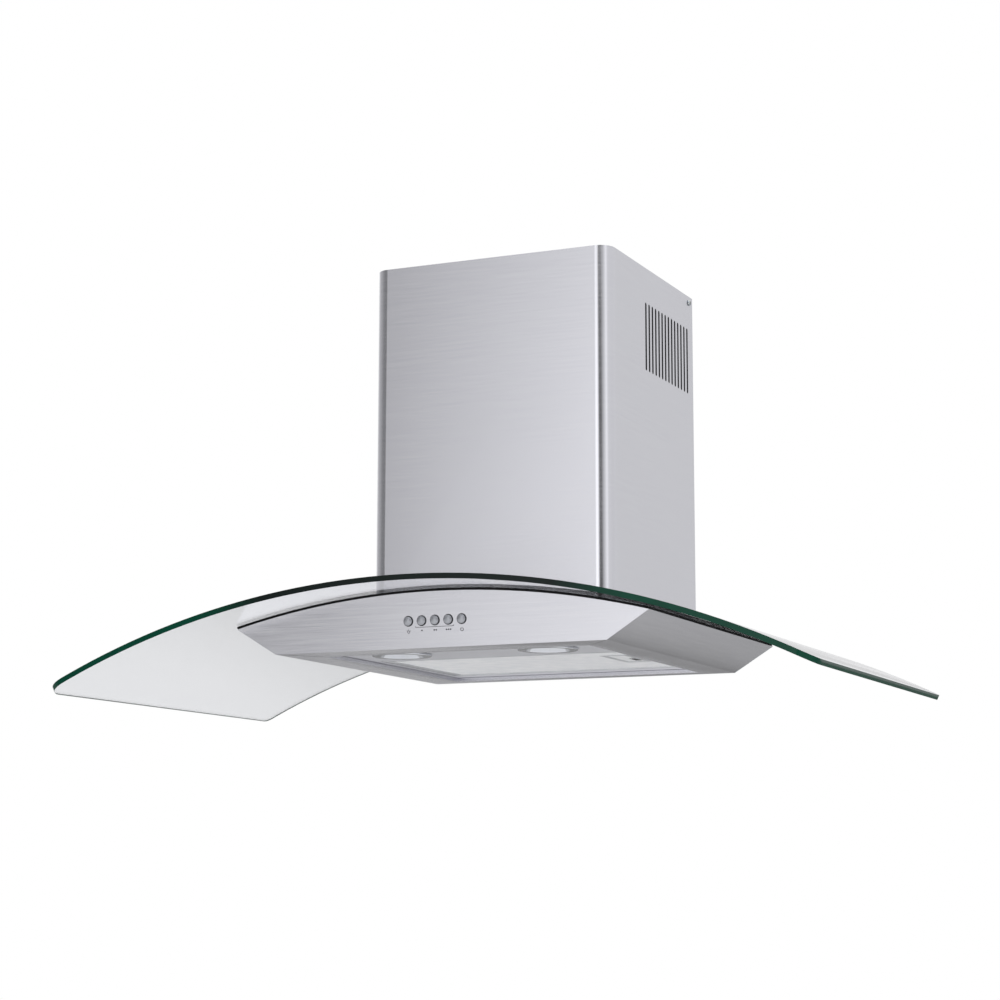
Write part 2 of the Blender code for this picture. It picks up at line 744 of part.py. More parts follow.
def hanger_plate():
    """Rear plate that hangs on two wall screws by keyholes above the blower box."""
    top = CANOPY_BOTTOM + 0.350
    plate = box("hanger_plate", (-0.100, -0.002, CANOPY_BOTTOM + 0.200), (0.100, 0.0, top))
    keyhole_z = top - 0.028
    for side, x in (("left", -0.075), ("right", 0.075)):
        outline = arc((x, keyhole_z), 0.0055, 123, 417, 12)
        outline += arc((x, keyhole_z + 0.014), 0.0030, 0, 180, 6)
        cut(plate, prism(f"keyhole_{side}", outline, "Y", -0.01, 0.01))
    for side, x in (("left", -0.05), ("right", 0.05)):
        hole = cylinder(f"hanger_screw_hole_{side}", 0.0024, -0.01, 0.01, steps=12)
        hole.rotation_euler = (math.radians(90), 0, 0)
        hole.location = (x, 0, HANGER_SCREW_Z)
        cut(plate, hole)
    finish(plate, "galvanised_steel")


def hanger_screws():
    """Screws from inside the blower box into the hanger plate."""
    head = 0.0022
    profile = [
        (0.0, head),
        (0.0028, head),
        (0.0042, 0.0006),
        (0.0042, 0.0),
        (0.0020, 0.0),
        (0.0020, -0.0030),
        (0.0, -0.0030),
    ]
    for side, x in (("left", -0.05), ("right", 0.05)):
        screw = turned(f"hanger_screw_{side}", profile, steps=8)
        screw.data.transform(Matrix.Rotation(math.radians(90), 4, "X"))
        screw.location = (x, BOX_REAR - BOX_SHEET - GAP, HANGER_SCREW_Z)
        finish(screw, "zinc_screw")


def blower_box():
    """Open-bottomed box on the top plate, its lower edge cut to the arch."""
    body = box(
        "blower_box",
        (-BOX_HALF_WIDTH, BOX_FRONT, CANOPY_BOTTOM + 0.04),
        (BOX_HALF_WIDTH, BOX_REAR, BOX_TOP),
    )
    void = box(
        "blower_box_void",
        (-BOX_HALF_WIDTH + BOX_SHEET, BOX_FRONT + BOX_SHEET, CANOPY_BOTTOM),
        (BOX_HALF_WIDTH - BOX_SHEET, BOX_REAR - BOX_SHEET, BOX_TOP - BOX_SHEET),
    )
    outlet = cylinder("outlet_hole", COLLAR_RADIUS - COLLAR_WALL, -0.01, 0.01, steps=32)
    outlet.location = (0, COLLAR_Y, BOX_TOP)
    lead_hole = cylinder("motor_lead_hole", 0.0040, -0.01, 0.01, steps=12)
    turn_to_x(lead_hole, (BOX_HALF_WIDTH, MOTOR_LEAD_END[1], MOTOR_LEAD_END[2]))
    cut(body, void, below_arch("plate_line", BODY_RADIUS + GAP, 0.2), outlet, lead_hole)
    for side, x in (("left", -0.05), ("right", 0.05)):
        hole = cylinder(f"box_screw_hole_{side}", 0.0024, -0.01, 0.01, steps=12)
        hole.rotation_euler = (math.radians(90), 0, 0)
        hole.location = (x, BOX_REAR, HANGER_SCREW_Z)
        cut(body, hole)
    for number, (x, y) in enumerate(collar_screw_places(), start=1):
        hole = cylinder(f"box_collar_hole_{number}", 0.0020, -0.01, 0.01, steps=10)
        hole.location = (x, y, BOX_TOP)
        cut(body, hole)
    finish(body, "galvanised_steel")


def scroll_outline(inset, top):
    """The volute's wall seen along X, (y, z): a spiral that opens into an outlet going up at the front."""
    start = 100
    turn = 280
    steps = 22
    outline = []
    for i in range(steps + 1):
        angle = math.radians(start - turn * i / steps)
        radius = SCROLL_START_RADIUS + (SCROLL_END_RADIUS - SCROLL_START_RADIUS) * i / steps - inset
        outline.append((WHEEL_Y + radius * math.cos(angle), WHEEL_Z + radius * math.sin(angle)))
    tongue = outline[0][0] - inset
    outline += [(WHEEL_Y - SCROLL_END_RADIUS + inset, top), (tongue, top)]
    return outline


def scroll_housing():
    """Volute round the wheel, with an inlet on each side and its outlet under the collar."""
    top = BOX_TOP - BOX_SHEET - GAP
    half = SCROLL_HALF_WIDTH
    housing = prism("scroll_housing", scroll_outline(0.0, top), "X", -half, half)
    inner = half - SCROLL_WALL
    void = prism("scroll_void", scroll_outline(SCROLL_WALL, top + 0.01), "X", -inner, inner)
    inlets = cylinder("scroll_inlets", INLET_RADIUS, -0.1, 0.1, steps=32)
    turn_to_x(inlets, (0, WHEEL_Y, WHEEL_Z))
    cut(housing, void, inlets)
    finish(housing, "grey_plastic")


def blower_wheel():
    """Squirrel-cage wheel: hub and middle disc, two end rings and a ring of blades. Its axis is X."""
    inner = WHEEL_RADIUS - 0.008
    disc = 0.0008
    hub = [
        (0.012, -disc),
        (0.012, -0.012),
        (SHAFT_RADIUS + GAP, -0.012),
        (SHAFT_RADIUS + GAP, disc + 0.001),
        (0.012, disc + 0.001),
        (0.012, disc),
        (WHEEL_RADIUS, disc),
        (WHEEL_RADIUS, -disc),
    ]
    wheel = turned("blower_wheel", hub, steps=24, ring=True)
    for side, sign in (("left", -1), ("right", 1)):
        outer_face = sign * WHEEL_HALF_LENGTH
        inner_face = sign * (WHEEL_HALF_LENGTH - 0.002)
        ring = [
            (WHEEL_RADIUS, outer_face),
            (WHEEL_RADIUS, inner_face),
            (inner, inner_face),
            (inner, outer_face),
        ]
        join(wheel, turned(f"wheel_ring_{side}", ring, steps=24, ring=True))
    for number in range(BLADE_COUNT):
        half = WHEEL_HALF_LENGTH - 0.001
        blade = box(
            f"wheel_blade_{number + 1}",
            (inner + 0.0007, -0.0005, -half),
            (WHEEL_RADIUS - 0.0007, 0.0005, half),
        )
        pitch = Matrix.Translation((WHEEL_RADIUS - 0.004, 0, 0))
        tilt = pitch @ Matrix.Rotation(math.radians(28), 4, "Z") @ pitch.inverted()
        around = Matrix.Rotation(math.tau * (number + 0.5) / BLADE_COUNT, 4, "Z")
        blade.data.transform(around @ tilt)
        join(wheel, blade)
    baked(wheel)
    turn_to_x(wheel, (0, WHEEL_Y, WHEEL_Z))
    finish(wheel, "grey_plastic")


def motor_shaft():
    shaft = cylinder("motor_shaft", SHAFT_RADIUS, -0.014, 0.030, steps=16)
    turn_to_x(shaft, (0, WHEEL_Y, WHEEL_Z))
    finish(shaft, "zinc_screw")


def motor():
    """Motor inside the wheel's right half, with a blind bore for the shaft."""
    bore = SHAFT_RADIUS + GAP
    front = 0.004
    back = SCROLL_HALF_WIDTH
    profile = [
        (0.0, back),
        (MOTOR_RADIUS - 0.003, back),
        (MOTOR_RADIUS, back - 0.003),
        (MOTOR_RADIUS, front + 0.006),
        (MOTOR_RADIUS - 0.006, front + 0.003),
        (0.012, front + 0.003),
        (0.012, front),
        (bore, front),
        (bore, 0.033),
        (0.0, 0.033),
    ]
    body = turned("motor", profile, steps=22)
    turn_to_x(body, (0, WHEEL_Y, WHEEL_Z))
    finish(body, "black_plastic")


def motor_bracket():
    """Three-armed plate from the motor's back to the scroll's right inlet."""
    low = SCROLL_HALF_WIDTH + GAP
    high = low + 0.0015
    bracket = cylinder("motor_bracket", MOTOR_RADIUS - 0.004, low, high, steps=28)
    for number in range(3):
        arm = box(
            f"bracket_arm_{number + 1}",
            (MOTOR_RADIUS - 0.020, -0.008, low),
            (INLET_RADIUS + 0.014, 0.008, high),
        )
        arm.data.transform(Matrix.Rotation(math.tau * number / 3, 4, "Z"))
        join(bracket, arm)
    hole = cylinder("bracket_lead_hole", 0.0036, 0.0, 0.1, steps=12)
    hole.data.transform(Matrix.Translation((-MOTOR_LEAD_RADIUS, 0, 0)))
    cut(bracket, hole)
    baked(bracket)
    turn_to_x(bracket, (0, WHEEL_Y, WHEEL_Z))
    finish(bracket, "galvanised_steel")


def outlet_collar():
    """Round duct spigot with a flange, and two small holes for the damper pin."""
    height = COLLAR_HEIGHT
    inner = COLLAR_RADIUS - COLLAR_WALL
    flange = 0.075
    profile = [
        (COLLAR_RADIUS, height),
        (COLLAR_RADIUS, 0.003),
        (flange, 0.003),
        (flange, 0.0),
        (inner, 0.0),
        (inner, height),
    ]
    collar = turned("outlet_collar", profile, steps=30, ring=True)
    collar.location = (0, COLLAR_Y, BOX_TOP + GAP)
    pin_hole = cylinder("damper_pin_holes", DAMPER_PIN_RADIUS + GAP, -0.1, 0.1, steps=12)
    turn_to_x(pin_hole, (0, COLLAR_Y, DAMPER_Z))
    cut(collar, pin_hole)
    for number, (x, y) in enumerate(collar_screw_places(), start=1):
        hole = cylinder(f"collar_hole_{number}", 0.0022, -0.01, 0.01, steps=10)
        hole.location = (x, y, BOX_TOP)
        cut(collar, hole)
    finish(collar, "black_plastic")


def collar_screw_places():
    return [
        (0.0675 * math.cos(a), COLLAR_Y + 0.0675 * math.sin(a))
        for a in (math.radians(45 + 90 * i) for i in range(4))
    ]


def collar_screws():
    profile = [
        (0.0, 0.0020),
        (0.0024, 0.0018),
        (0.0035, 0.0006),
        (0.0035, 0.0),
        (0.0015, 0.0),
        (0.0015, -0.0075),
        (0.0, -0.0075),
    ]
    for number, (x, y) in enumerate(collar_screw_places(), start=1):
        screw = turned(f"collar_screw_{number}", profile, steps=8)
        screw.location = (x, y, BOX_TOP + GAP + 0.003 + GAP)
        finish(screw, "zinc_screw")


def damper_pin():
    length = COLLAR_RADIUS + 0.0005
    pin = cylinder("damper_pin", DAMPER_PIN_RADIUS, -length, length, steps=12)
    turn_to_x(pin, (0, COLLAR_Y, DAMPER_Z))
    finish(pin, "zinc_screw")


def damper_flap(name, side):
    """Half-disc flap with its own half of the hinge barrel. side is -1 in front of the pin, 1 behind it."""
    radius = COLLAR_RADIUS - COLLAR_WALL - 0.0015
    straight = 0.0036
    web = 0.0021
    thickness = 0.0010
    barrel_start = 0.002
    barrel_end = 0.046
    start = math.degrees(math.asin(straight / radius))
    outline = arc((0, 0), radius, start, 180 - start, 20)
    flap = prism(name, outline, "Z", -thickness / 2, thickness / 2)
    web_half = thickness / 2 + 0.0002
    web_piece = box(
        name + "_web",
        (-barrel_end + 0.001, web, -web_half),
        (-barrel_start - 0.001, straight + 0.002, web_half),
    )
    barrel = turned(
        name + "_barrel",
        [
            (0.0030, barrel_end),
            (0.0030, barrel_start),
            (DAMPER_PIN_RADIUS + GAP, barrel_start),
            (DAMPER_PIN_RADIUS + GAP, barrel_end),
        ],
        steps=16,
        ring=True,
    )
    barrel.data.transform(Matrix.Rotation(math.radians(-90), 4, "Y"))
    join(flap, web_piece, barrel)
    baked(flap)
    if side < 0:
        flap.data.transform(Matrix.Rotation(math.radians(180), 4, "Z"))
    flap.location = (0, COLLAR_Y, DAMPER_Z)
    finish(flap, "black_plastic")


# ---------------------------------------------------------------- wiring inside the hood


def junction_box():
    """Open-fronted box on the blower box's right side, closed by a lid."""
    body = box("junction_box", JUNCTION_LOW, JUNCTION_HIGH)
    low = [c + JUNCTION_WALL for c in JUNCTION_LOW]
    high = (JUNCTION_HIGH[0] + 0.01, JUNCTION_HIGH[1] - JUNCTION_WALL, JUNCTION_HIGH[2] - JUNCTION_WALL)
    cut(body, box("junction_void", low, high))
    finish(body, "white_plastic")
    lid = box(
        "junction_box_lid",
        (JUNCTION_HIGH[0] + GAP, JUNCTION_LOW[1], JUNCTION_LOW[2]),
        (JUNCTION_HIGH[0] + GAP + 0.002, JUNCTION_HIGH[1], JUNCTION_HIGH[2]),
    )
    finish(lid, "white_plastic")


def cable_gland():
    """Where the mains cord enters: a nut, a neck and a bore."""
    bore = 0.0035
    profile = [
        (0.0070, 0.020),
        (0.0085, 0.017),
        (0.0085, 0.008),
        (0.0105, 0.008),
        (0.0105, 0.0),
        (bore, 0.0),
        (bore, 0.020),
    ]
    gland = turned("cable_gland", profile, steps=18, ring=True)
    gland.location = (
        (JUNCTION_LOW[0] + JUNCTION_HIGH[0]) / 2,
        (JUNCTION_LOW[1] + JUNCTION_HIGH[1]) / 2,
        JUNCTION_HIGH[2] + GAP,
    )
    finish(gland, "black_plastic")


def capacitor():
    """Run capacitor on the blower box's left side."""
    profile = [(0.0, 0.066), (0.012, 0.066), (0.014, 0.064), (0.014, 0.0), (0.0, 0.0)]
    can = turned("capacitor", profile, steps=20)
    can.location = (-BOX_HALF_WIDTH - GAP - 0.016, -0.140, CANOPY_BOTTOM + 0.150)
    finish(can, "aluminium")


def leads():
    """The leads between the junction box, the motor, the switches and the lamps."""
    motor_start = (SCROLL_HALF_WIDTH + 3 * GAP, WHEEL_Y, WHEEL_Z + MOTOR_LEAD_RADIUS)
    motor_route = [
        motor_start,
        (0.066, WHEEL_Y, WHEEL_Z + MOTOR_LEAD_RADIUS),
        (0.090, -0.142, MOTOR_LEAD_END[2] + 0.002),
        (0.102, -0.150, MOTOR_LEAD_END[2]),
        MOTOR_LEAD_END,
    ]
    finish(tube("motor_lead", motor_route, LEAD_THICKNESS, 0.006), "black_rubber")
    rear = front_y(BUTTON_Z) + 0.0294
    above = CANOPY_BOTTOM + 0.040
    drop_x, drop_y = LEAD_DROP
    switch_route = [
        (drop_x, drop_y, JUNCTION_LOW[2] - GAP),
        (drop_x, drop_y, CANOPY_BOTTOM + 0.100),
        (drop_x, drop_y, CANOPY_BOTTOM + 0.064),
        (drop_x, drop_y, CANOPY_BOTTOM + 0.049),
        (drop_x - 0.001, drop_y - 0.014, above + 0.001),
        (0.124, -0.230, above),
        (0.130, -0.300, above),
        (0.110, -0.345, above),
        (0.060, -0.364, CANOPY_BOTTOM + 0.036),
        (0.036, rear + 0.012, CANOPY_BOTTOM + 0.033),
        (0.035, rear, CANOPY_BOTTOM + 0.0325),
    ]
    finish(tube("switch_lead", switch_route, LEAD_THICKNESS, 0.011), "black_rubber")
    for side, sign in (("left", -1), ("right", 1)):
        lamp_route = [
            (sign * LAMP_X, LAMP_Y, LAMP_TOP + 3 * GAP),
            (sign * LAMP_X, LAMP_Y, LAMP_TOP + 0.004),
            (sign * 0.084, LAMP_Y - 0.010, LAMP_TOP + 0.007),
            (sign * 0.058, -0.350, CANOPY_BOTTOM + 0.028),
            (sign * 0.024, rear + 0.010, CANOPY_BOTTOM + 0.0262),
            (sign * 0.022, rear, CANOPY_BOTTOM + 0.026),
        ]
        finish(tube(f"lamp_lead_{side}", lamp_route, 0.0018, 0.008), "black_rubber")


# ---------------------------------------------------------------- lamps


def lamps():
    """Two recessed lamps: bezel below the panel, frosted lens, bulb and reflector cup above."""
    bezel = [
        (0.0277, 0.0140),
        (0.0277, 0.0023),
        (0.0340, 0.0023),
        (0.0340, 0.0006),
        (0.0334, 0.0),
        (0.0262, 0.0),
        (0.0224, 0.0052),
        (0.0224, 0.0064),
        (0.0262, 0.0064),
        (0.0262, 0.0140),
    ]
    lens = [(0.0, 0.0091), (0.0258, 0.0091), (0.0258, 0.0067), (0.0, 0.0067)]
    cup = [
        (0.0, 0.0310),
        (0.0200, 0.0310),
        (0.0272, 0.0240),
        (0.0272, 0.0143),
        (0.0260, 0.0143),
        (0.0260, 0.0235),
        (0.0195, 0.0298),
        (0.0, 0.0298),
    ]
    bulb = [
        (0.0, 0.0295),
        (0.0035, 0.0295),
        (0.0045, 0.0275),
        (0.0045, 0.0160),
        (0.0025, 0.0135),
        (0.0, 0.0130),
    ]
    for side, sign in (("left", -1), ("right", 1)):
        pieces = (
            (turned(f"lamp_bezel_{side}", bezel, 26, ring=True), "chrome"),
            (turned(f"lamp_lens_{side}", lens, 26), "frosted_glass"),
            (turned(f"lamp_holder_{side}", cup, 18), "aluminium"),
            (turned(f"lamp_bulb_{side}", bulb, 10), "frosted_glass"),
        )
        for piece, look in pieces:
            piece.location = (sign * LAMP_X, LAMP_Y, LAMP_BASE)
            finish(piece, look)


# ---------------------------------------------------------------- switches


def push_buttons(frame):
    """Domed caps on stems, along the front frame's Z axis."""
    proud = 0.0032
    cap = BUTTON_RADIUS
    profile = [
        (0.0, proud),
        (cap * 0.55, proud - 0.0002),
        (cap * 0.86, proud - 0.0007),
        (cap, proud - 0.0016),
        (cap, -0.0042),
        (BUTTON_STEM_RADIUS, -0.0042),
        (BUTTON_STEM_RADIUS, -0.0170),
        (0.0, -0.0170),
    ]
    for number, x in enumerate(button_places(), start=1):
        button = turned(f"push_button_{number}", profile, steps=14)
        place_on_front(button, frame, (x, 0, 0))
        finish(button, "chrome")


def switch_housing(frame):
    """Switch block behind the front, with a blind bore for each button's stem."""
    front = -0.0078
    housing = box("switch_housing", (-0.046, -0.0075, front - 0.020), (0.046, 0.0075, front))
    place_on_front(housing, frame, (0, 0, 0))
    for number, x in enumerate(button_places(), start=1):
        bore = cylinder(
            f"stem_bore_{number}", BUTTON_STEM_RADIUS + GAP, front - 0.0140, front + 0.01, steps=16
        )
        place_on_front(bore, frame, (x, 0, 0))
        cut(housing, bore)
    finish(housing, "black_plastic")


# ---------------------------------------------------------------- grease filter


def filter_frame(pivot):
    """Aluminium rim with two tabs on its left edge that rest on the bottom panel."""
    frame = box(
        "filter_frame",
        (FILTER_LEFT, FILTER_FRONT, FILTER_BOTTOM),
        (FILTER_RIGHT, FILTER_REAR, FILTER_TOP),
    )
    middle = box(
        "filter_middle",
        (FILTER_LEFT + FILTER_RIM, FILTER_FRONT + FILTER_RIM, FILTER_BOTTOM - 0.01),
        (FILTER_RIGHT - FILTER_RIM, FILTER_REAR - FILTER_RIM, FILTER_TOP + 0.01),
    )
    slot = box(
        "tongue_slot",
        (FILTER_RIGHT - FILTER_RIM - 0.002, LATCH_Y - TONGUE_HALF_WIDTH - GAP, TONGUE_BOTTOM - GAP),
        (FILTER_RIGHT + 0.002, LATCH_Y + TONGUE_HALF_WIDTH + GAP, TONGUE_TOP + GAP),
    )
    cut(frame, middle, slot)
    for number, y in enumerate((-0.205, -0.093), start=1):
        tab = box(
            f"filter_tab_{number}",
            (FILTER_LEFT - 0.0090, y - 0.011, FILTER_HINGE_Z - 0.0002),
            (FILTER_LEFT + 0.0010, y + 0.011, FILTER_HINGE_Z + 0.0012),
        )
        join(frame, tab)
    baked(frame)
    set_origin(frame, pivot)
    finish(frame, "aluminium")


def filter_mesh(pivot):
    """Pack of expanded aluminium sheets inside the rim, notched for the latch plate."""
    mesh = box(
        "filter_mesh",
        (FILTER_LEFT + FILTER_RIM + GAP, FILTER_FRONT + FILTER_RIM + GAP, FILTER_BOTTOM + 0.0012),
        (FILTER_RIGHT - FILTER_RIM - GAP, FILTER_REAR - FILTER_RIM - GAP, FILTER_BOTTOM + 0.0047),
    )
    notch = box(
        "latch_notch",
        (LATCH_TRAY[0][0] - GAP, LATCH_TRAY[0][1] - GAP, FILTER_BOTTOM - 0.01),
        (FILTER_RIGHT, LATCH_TRAY[1][1] + GAP, FILTER_TOP + 0.01),
    )
    cut(mesh, notch)
    baked(mesh)
    set_origin(mesh, pivot)
    finish(mesh, "aluminium")


def filter_latch_plate(pivot):
    """Pressed plate with a finger pocket and a slot for the latch's tongue."""
    plate = box(
        "filter_latch_plate",
        (*LATCH_TRAY[0], FILTER_BOTTOM + 0.0002),
        (*LATCH_TRAY[1], FILTER_BOTTOM + 0.0085),
    )
    pocket = box("latch_pocket", (*POCKET[0], FILTER_BOTTOM - 0.01), (*POCKET[1], FILTER_BOTTOM + 0.0073))
    slot = box(
        "plate_slot",
        (POCKET[1][0] - 0.002, LATCH_Y - TONGUE_HALF_WIDTH - GAP, TONGUE_BOTTOM - GAP),
        (LATCH_TRAY[1][0] + 0.002, LATCH_Y + TONGUE_HALF_WIDTH + GAP, TONGUE_TOP + GAP),
    )
    cut(plate, pocket, slot)
    baked(plate)
    set_origin(plate, pivot)
    finish(plate, "aluminium")


def filter_latch(pivot):
    """Finger pad in the pocket, with a tongue that reaches over the bottom panel's edge."""
    pad_low = FILTER_BOTTOM + 0.0006
    pad = box(
        "filter_latch",
        (POCKET[1][0] - 0.0090, LATCH_Y - 0.012, pad_low),
        (POCKET[1][0] - 0.0004, LATCH_Y + 0.012, TONGUE_TOP),
    )
    tongue = box(
        "latch_tongue",
        (POCKET[1][0] - 0.0050, LATCH_Y - TONGUE_HALF_WIDTH, TONGUE_BOTTOM),
        (FILTER_OPENING[1][0] + 0.0040, LATCH_Y + TONGUE_HALF_WIDTH, TONGUE_TOP + 0.00005),
    )
    join(pad, tongue)
    baked(pad)
    set_origin(pad, pivot)
    finish(pad, "black_plastic")


def filter_latch_spring(pivot):
    """Small coil spring between the pocket's inner wall and the latch pad."""
    turns = 4
    steps = 8
    coil = 0.0020
    wire = 0.0003
    start = POCKET[0][0] + 0.0006
    end = POCKET[1][0] - 0.0090 - 0.0006
    centre_z = FILTER_BOTTOM + 0.0040
    curve = bpy.data.curves.new("filter_latch_spring", "CURVE")
    curve.dimensions = "3D"
    curve.bevel_depth = wire
    curve.bevel_resolution = 1
    curve.use_fill_caps = True
    spline = curve.splines.new("POLY")
    count = turns * steps
    spline.points.add(count)
    for i, point in enumerate(spline.points):
        angle = math.tau * i / steps
        x = start + (end - start) * i / count
        point.co = (x, LATCH_Y + coil * math.cos(angle), centre_z + coil * math.sin(angle), 1)
    spring = bpy.data.objects.new("filter_latch_spring", curve)
    PARTS.objects.link(spring)
    mesh = evaluated_mesh(spring)
    bpy.data.objects.remove(spring, do_unlink=True)
    bm = bmesh.new()
    bm.from_mesh(mesh)
    bmesh.ops.remove_doubles(bm, verts=bm.verts, dist=1e-6)
    spring = object_from("filter_latch_spring", mesh_from("filter_latch_spring", bm))
    set_origin(spring, pivot)
    finish(spring, "zinc_screw")


def grease_filter():
    pivot = (FILTER_LEFT, (FILTER_FRONT + FILTER_REAR) / 2, FILTER_HINGE_Z)
    filter_frame(pivot)
    filter_mesh(pivot)
    filter_latch_plate(pivot)
    filter_latch(pivot)
    filter_latch_spring(pivot)


# ---------------------------------------------------------------- the hood


def range_hood():
    frame = front_frame()
    canopy_shell(frame)
    canopy_back_panel()
    canopy_top_plate()
    bottom_panel()
    glass_visor()
    glass_gasket()
    glass_bolts()
    chimney_cover()
    vent_liners()
    chimney_wall_bracket()
    chimney_screws()
    hanger_plate()
    hanger_screws()
    blower_box()
    scroll_housing()
    blower_wheel()
    motor_shaft()
    motor()
    motor_bracket()
    outlet_collar()
    collar_screws()
    damper_pin()
    damper_flap("damper_flap_front", -1)
    damper_flap("damper_flap_rear", 1)
    junction_box()
    cable_gland()
    capacitor()
    leads()
    lamps()
    push_buttons(frame)
    switch_housing(frame)
    grease_filter()


range_hood()
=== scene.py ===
import json
import math

import bmesh
import bpy
from mathutils import Matrix, Vector


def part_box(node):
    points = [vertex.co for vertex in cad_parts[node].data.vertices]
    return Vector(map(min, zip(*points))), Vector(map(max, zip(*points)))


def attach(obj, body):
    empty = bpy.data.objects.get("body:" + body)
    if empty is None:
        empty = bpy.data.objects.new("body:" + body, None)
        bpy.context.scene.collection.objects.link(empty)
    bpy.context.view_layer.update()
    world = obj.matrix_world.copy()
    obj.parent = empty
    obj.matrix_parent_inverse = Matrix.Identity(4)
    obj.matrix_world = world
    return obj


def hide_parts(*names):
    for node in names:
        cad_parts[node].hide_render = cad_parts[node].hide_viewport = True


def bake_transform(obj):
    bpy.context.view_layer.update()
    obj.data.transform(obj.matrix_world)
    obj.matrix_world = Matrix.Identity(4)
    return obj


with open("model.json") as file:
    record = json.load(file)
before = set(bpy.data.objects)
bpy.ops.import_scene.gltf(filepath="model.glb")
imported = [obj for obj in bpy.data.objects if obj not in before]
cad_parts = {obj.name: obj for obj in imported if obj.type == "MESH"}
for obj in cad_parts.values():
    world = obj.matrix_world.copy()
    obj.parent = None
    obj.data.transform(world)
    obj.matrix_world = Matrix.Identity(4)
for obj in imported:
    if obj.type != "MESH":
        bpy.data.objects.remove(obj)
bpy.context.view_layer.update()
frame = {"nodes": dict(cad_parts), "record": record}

ARCH_CENTRE_Z = -0.9686         # centre of the arch that the glass follows
FRONT_LEAN = math.radians(5.5)  # the canopy's front face leans forward as it rises
CANOPY_BOTTOM = -0.030
CANOPY_FRONT = -0.4145
CANOPY_HALF_BOTTOM = 0.1987
OPENING_FRONT = -0.3675         # the hole inside the canopy's return flange
OPENING_HALF_WIDTH = 0.160
BUTTON_Z = CANOPY_BOTTOM + 0.0295
BUTTON_COUNT = 5
BUTTON_PITCH = 0.016
INK = 0.00006                   # thickness of the printed marks
FLOOR_HEIGHT = -1.60            # the hood hangs about 1.6 m above the floor
FLOOR_RADIUS = 2.2

CAMERA_PLACE = (1.1078, -2.6916, -0.2889)
CAMERA_YAW = math.radians(24.3814)
CAMERA_PITCH = math.radians(9.4285)
CAMERA_ROLL = math.radians(0.0926)
CAMERA_LENS = 84.69


# ---------------------------------------------------------------- helpers

def linear(text):
    """An sRGB hex colour as linear red, green, blue and full alpha."""
    values = [int(text[i:i + 2], 16) / 255 for i in (0, 2, 4)]
    values = [v / 12.92 if v <= 0.04045 else ((v + 0.055) / 1.055) ** 2.4 for v in values]
    return (*values, 1.0)


def add(tree, kind, inputs=None, **settings):
    """A node of this kind, with its settings, and its inputs linked or filled."""
    node = tree.nodes.new(kind)
    for name, value in settings.items():
        setattr(node, name, value)
    for socket, value in (inputs or {}).items():
        if isinstance(value, bpy.types.NodeSocket):
            tree.links.new(value, node.inputs[socket])
        else:
            node.inputs[socket].default_value = value
    return node


def material(name):
    """A new material with an empty tree."""
    look = bpy.data.materials.new(name)
    look.use_nodes = True
    look.node_tree.nodes.clear()
    return look


def fill_noise(tree, size, detail=2.0, stretch=(1.0, 1.0, 1.0), roughness=0.5):
    """Noise on object coordinates whose features are size metres across, stretched by axis."""
    place = add(tree, "ShaderNodeTexCoord")
    scale = [1.0 / (size * s) for s in stretch]
    mapping = add(tree, "ShaderNodeMapping", {"Vector": place.outputs["Object"], "Scale": scale})
    inputs = {"Vector": mapping.outputs[0], "Scale": 1.0, "Detail": detail, "Roughness": roughness}
    return add(tree, "ShaderNodeTexNoise", inputs).outputs["Fac"]


def between(tree, factor, low, high, start=0.3, end=0.7, kind="LINEAR"):
    """A number that goes from low to high as factor goes from start to end."""
    inputs = {0: factor, 1: start, 2: end, 3: low, 4: high}
    return add(tree, "ShaderNodeMapRange", inputs, interpolation_type=kind).outputs[0]


def times(tree, first, second):
    """Two numbers multiplied."""
    return add(tree, "ShaderNodeMath", {0: first, 1: second}, operation="MULTIPLY").outputs[0]


def vector(tree, x=0.0, y=0.0, z=0.0):
    return add(tree, "ShaderNodeCombineXYZ", {0: x, 1: y, 2: z}).outputs[0]


def blend(tree, factor, first, second):
    """A colour between two linear colours."""
    mix = add(tree, "ShaderNodeMix", {0: factor, 6: first, 7: second}, data_type="RGBA")
    return mix.outputs[2]


def bumped(tree, height, distance, strength=1.0, normal=None):
    inputs = {"Height": height, "Distance": distance, "Strength": strength}
    if normal is not None:
        inputs["Normal"] = normal
    return add(tree, "ShaderNodeBump", inputs).outputs[0]


def shaded(tree, inputs):
    """The Principled shader with these inputs, joined to the material's output."""
    shader = add(tree, "ShaderNodeBsdfPrincipled", inputs)
    add(tree, "ShaderNodeOutputMaterial", {"Surface": shader.outputs[0]})
    return shader


# ---------------------------------------------------------------- materials

def brushed_stainless(name, light, dark, stretch, line=0.0011, rough=(0.19, 0.25)):
    """Grade 430 stainless, belt-brushed in one direction: fine level lines, a highlight drawn
    out across them, and faint cloudy wear from wiping. The real grit leaves 0.1 mm lines; they
    are drawn about 1 mm apart so that they show."""
    look = material(name)
    tree = look.node_tree
    lines = fill_noise(tree, line, 3.0, stretch)
    fine = fill_noise(tree, line * 0.35, 2.0, stretch)
    cloud = fill_noise(tree, 0.16, 3.0)
    colour = blend(tree, between(tree, lines, 0.0, 1.0), linear(dark), linear(light))
    lines_rough = between(tree, lines, rough[0], rough[1])
    wiped = add(tree, "ShaderNodeMath", {0: lines_rough, 1: between(tree, cloud, -0.015, 0.02)},
                operation="ADD")
    normal = bumped(tree, fine, 0.000004, 0.3)
    normal = bumped(tree, lines, 0.000008, 0.3, normal)
    across = vector(tree, 0.0, 0.05, 1.0)
    shaded(tree, {"Base Color": colour, "Metallic": 1.0, "Roughness": wiped.outputs[0],
                  "Normal": normal, "Anisotropic": 0.6, "Tangent": across})
    return look


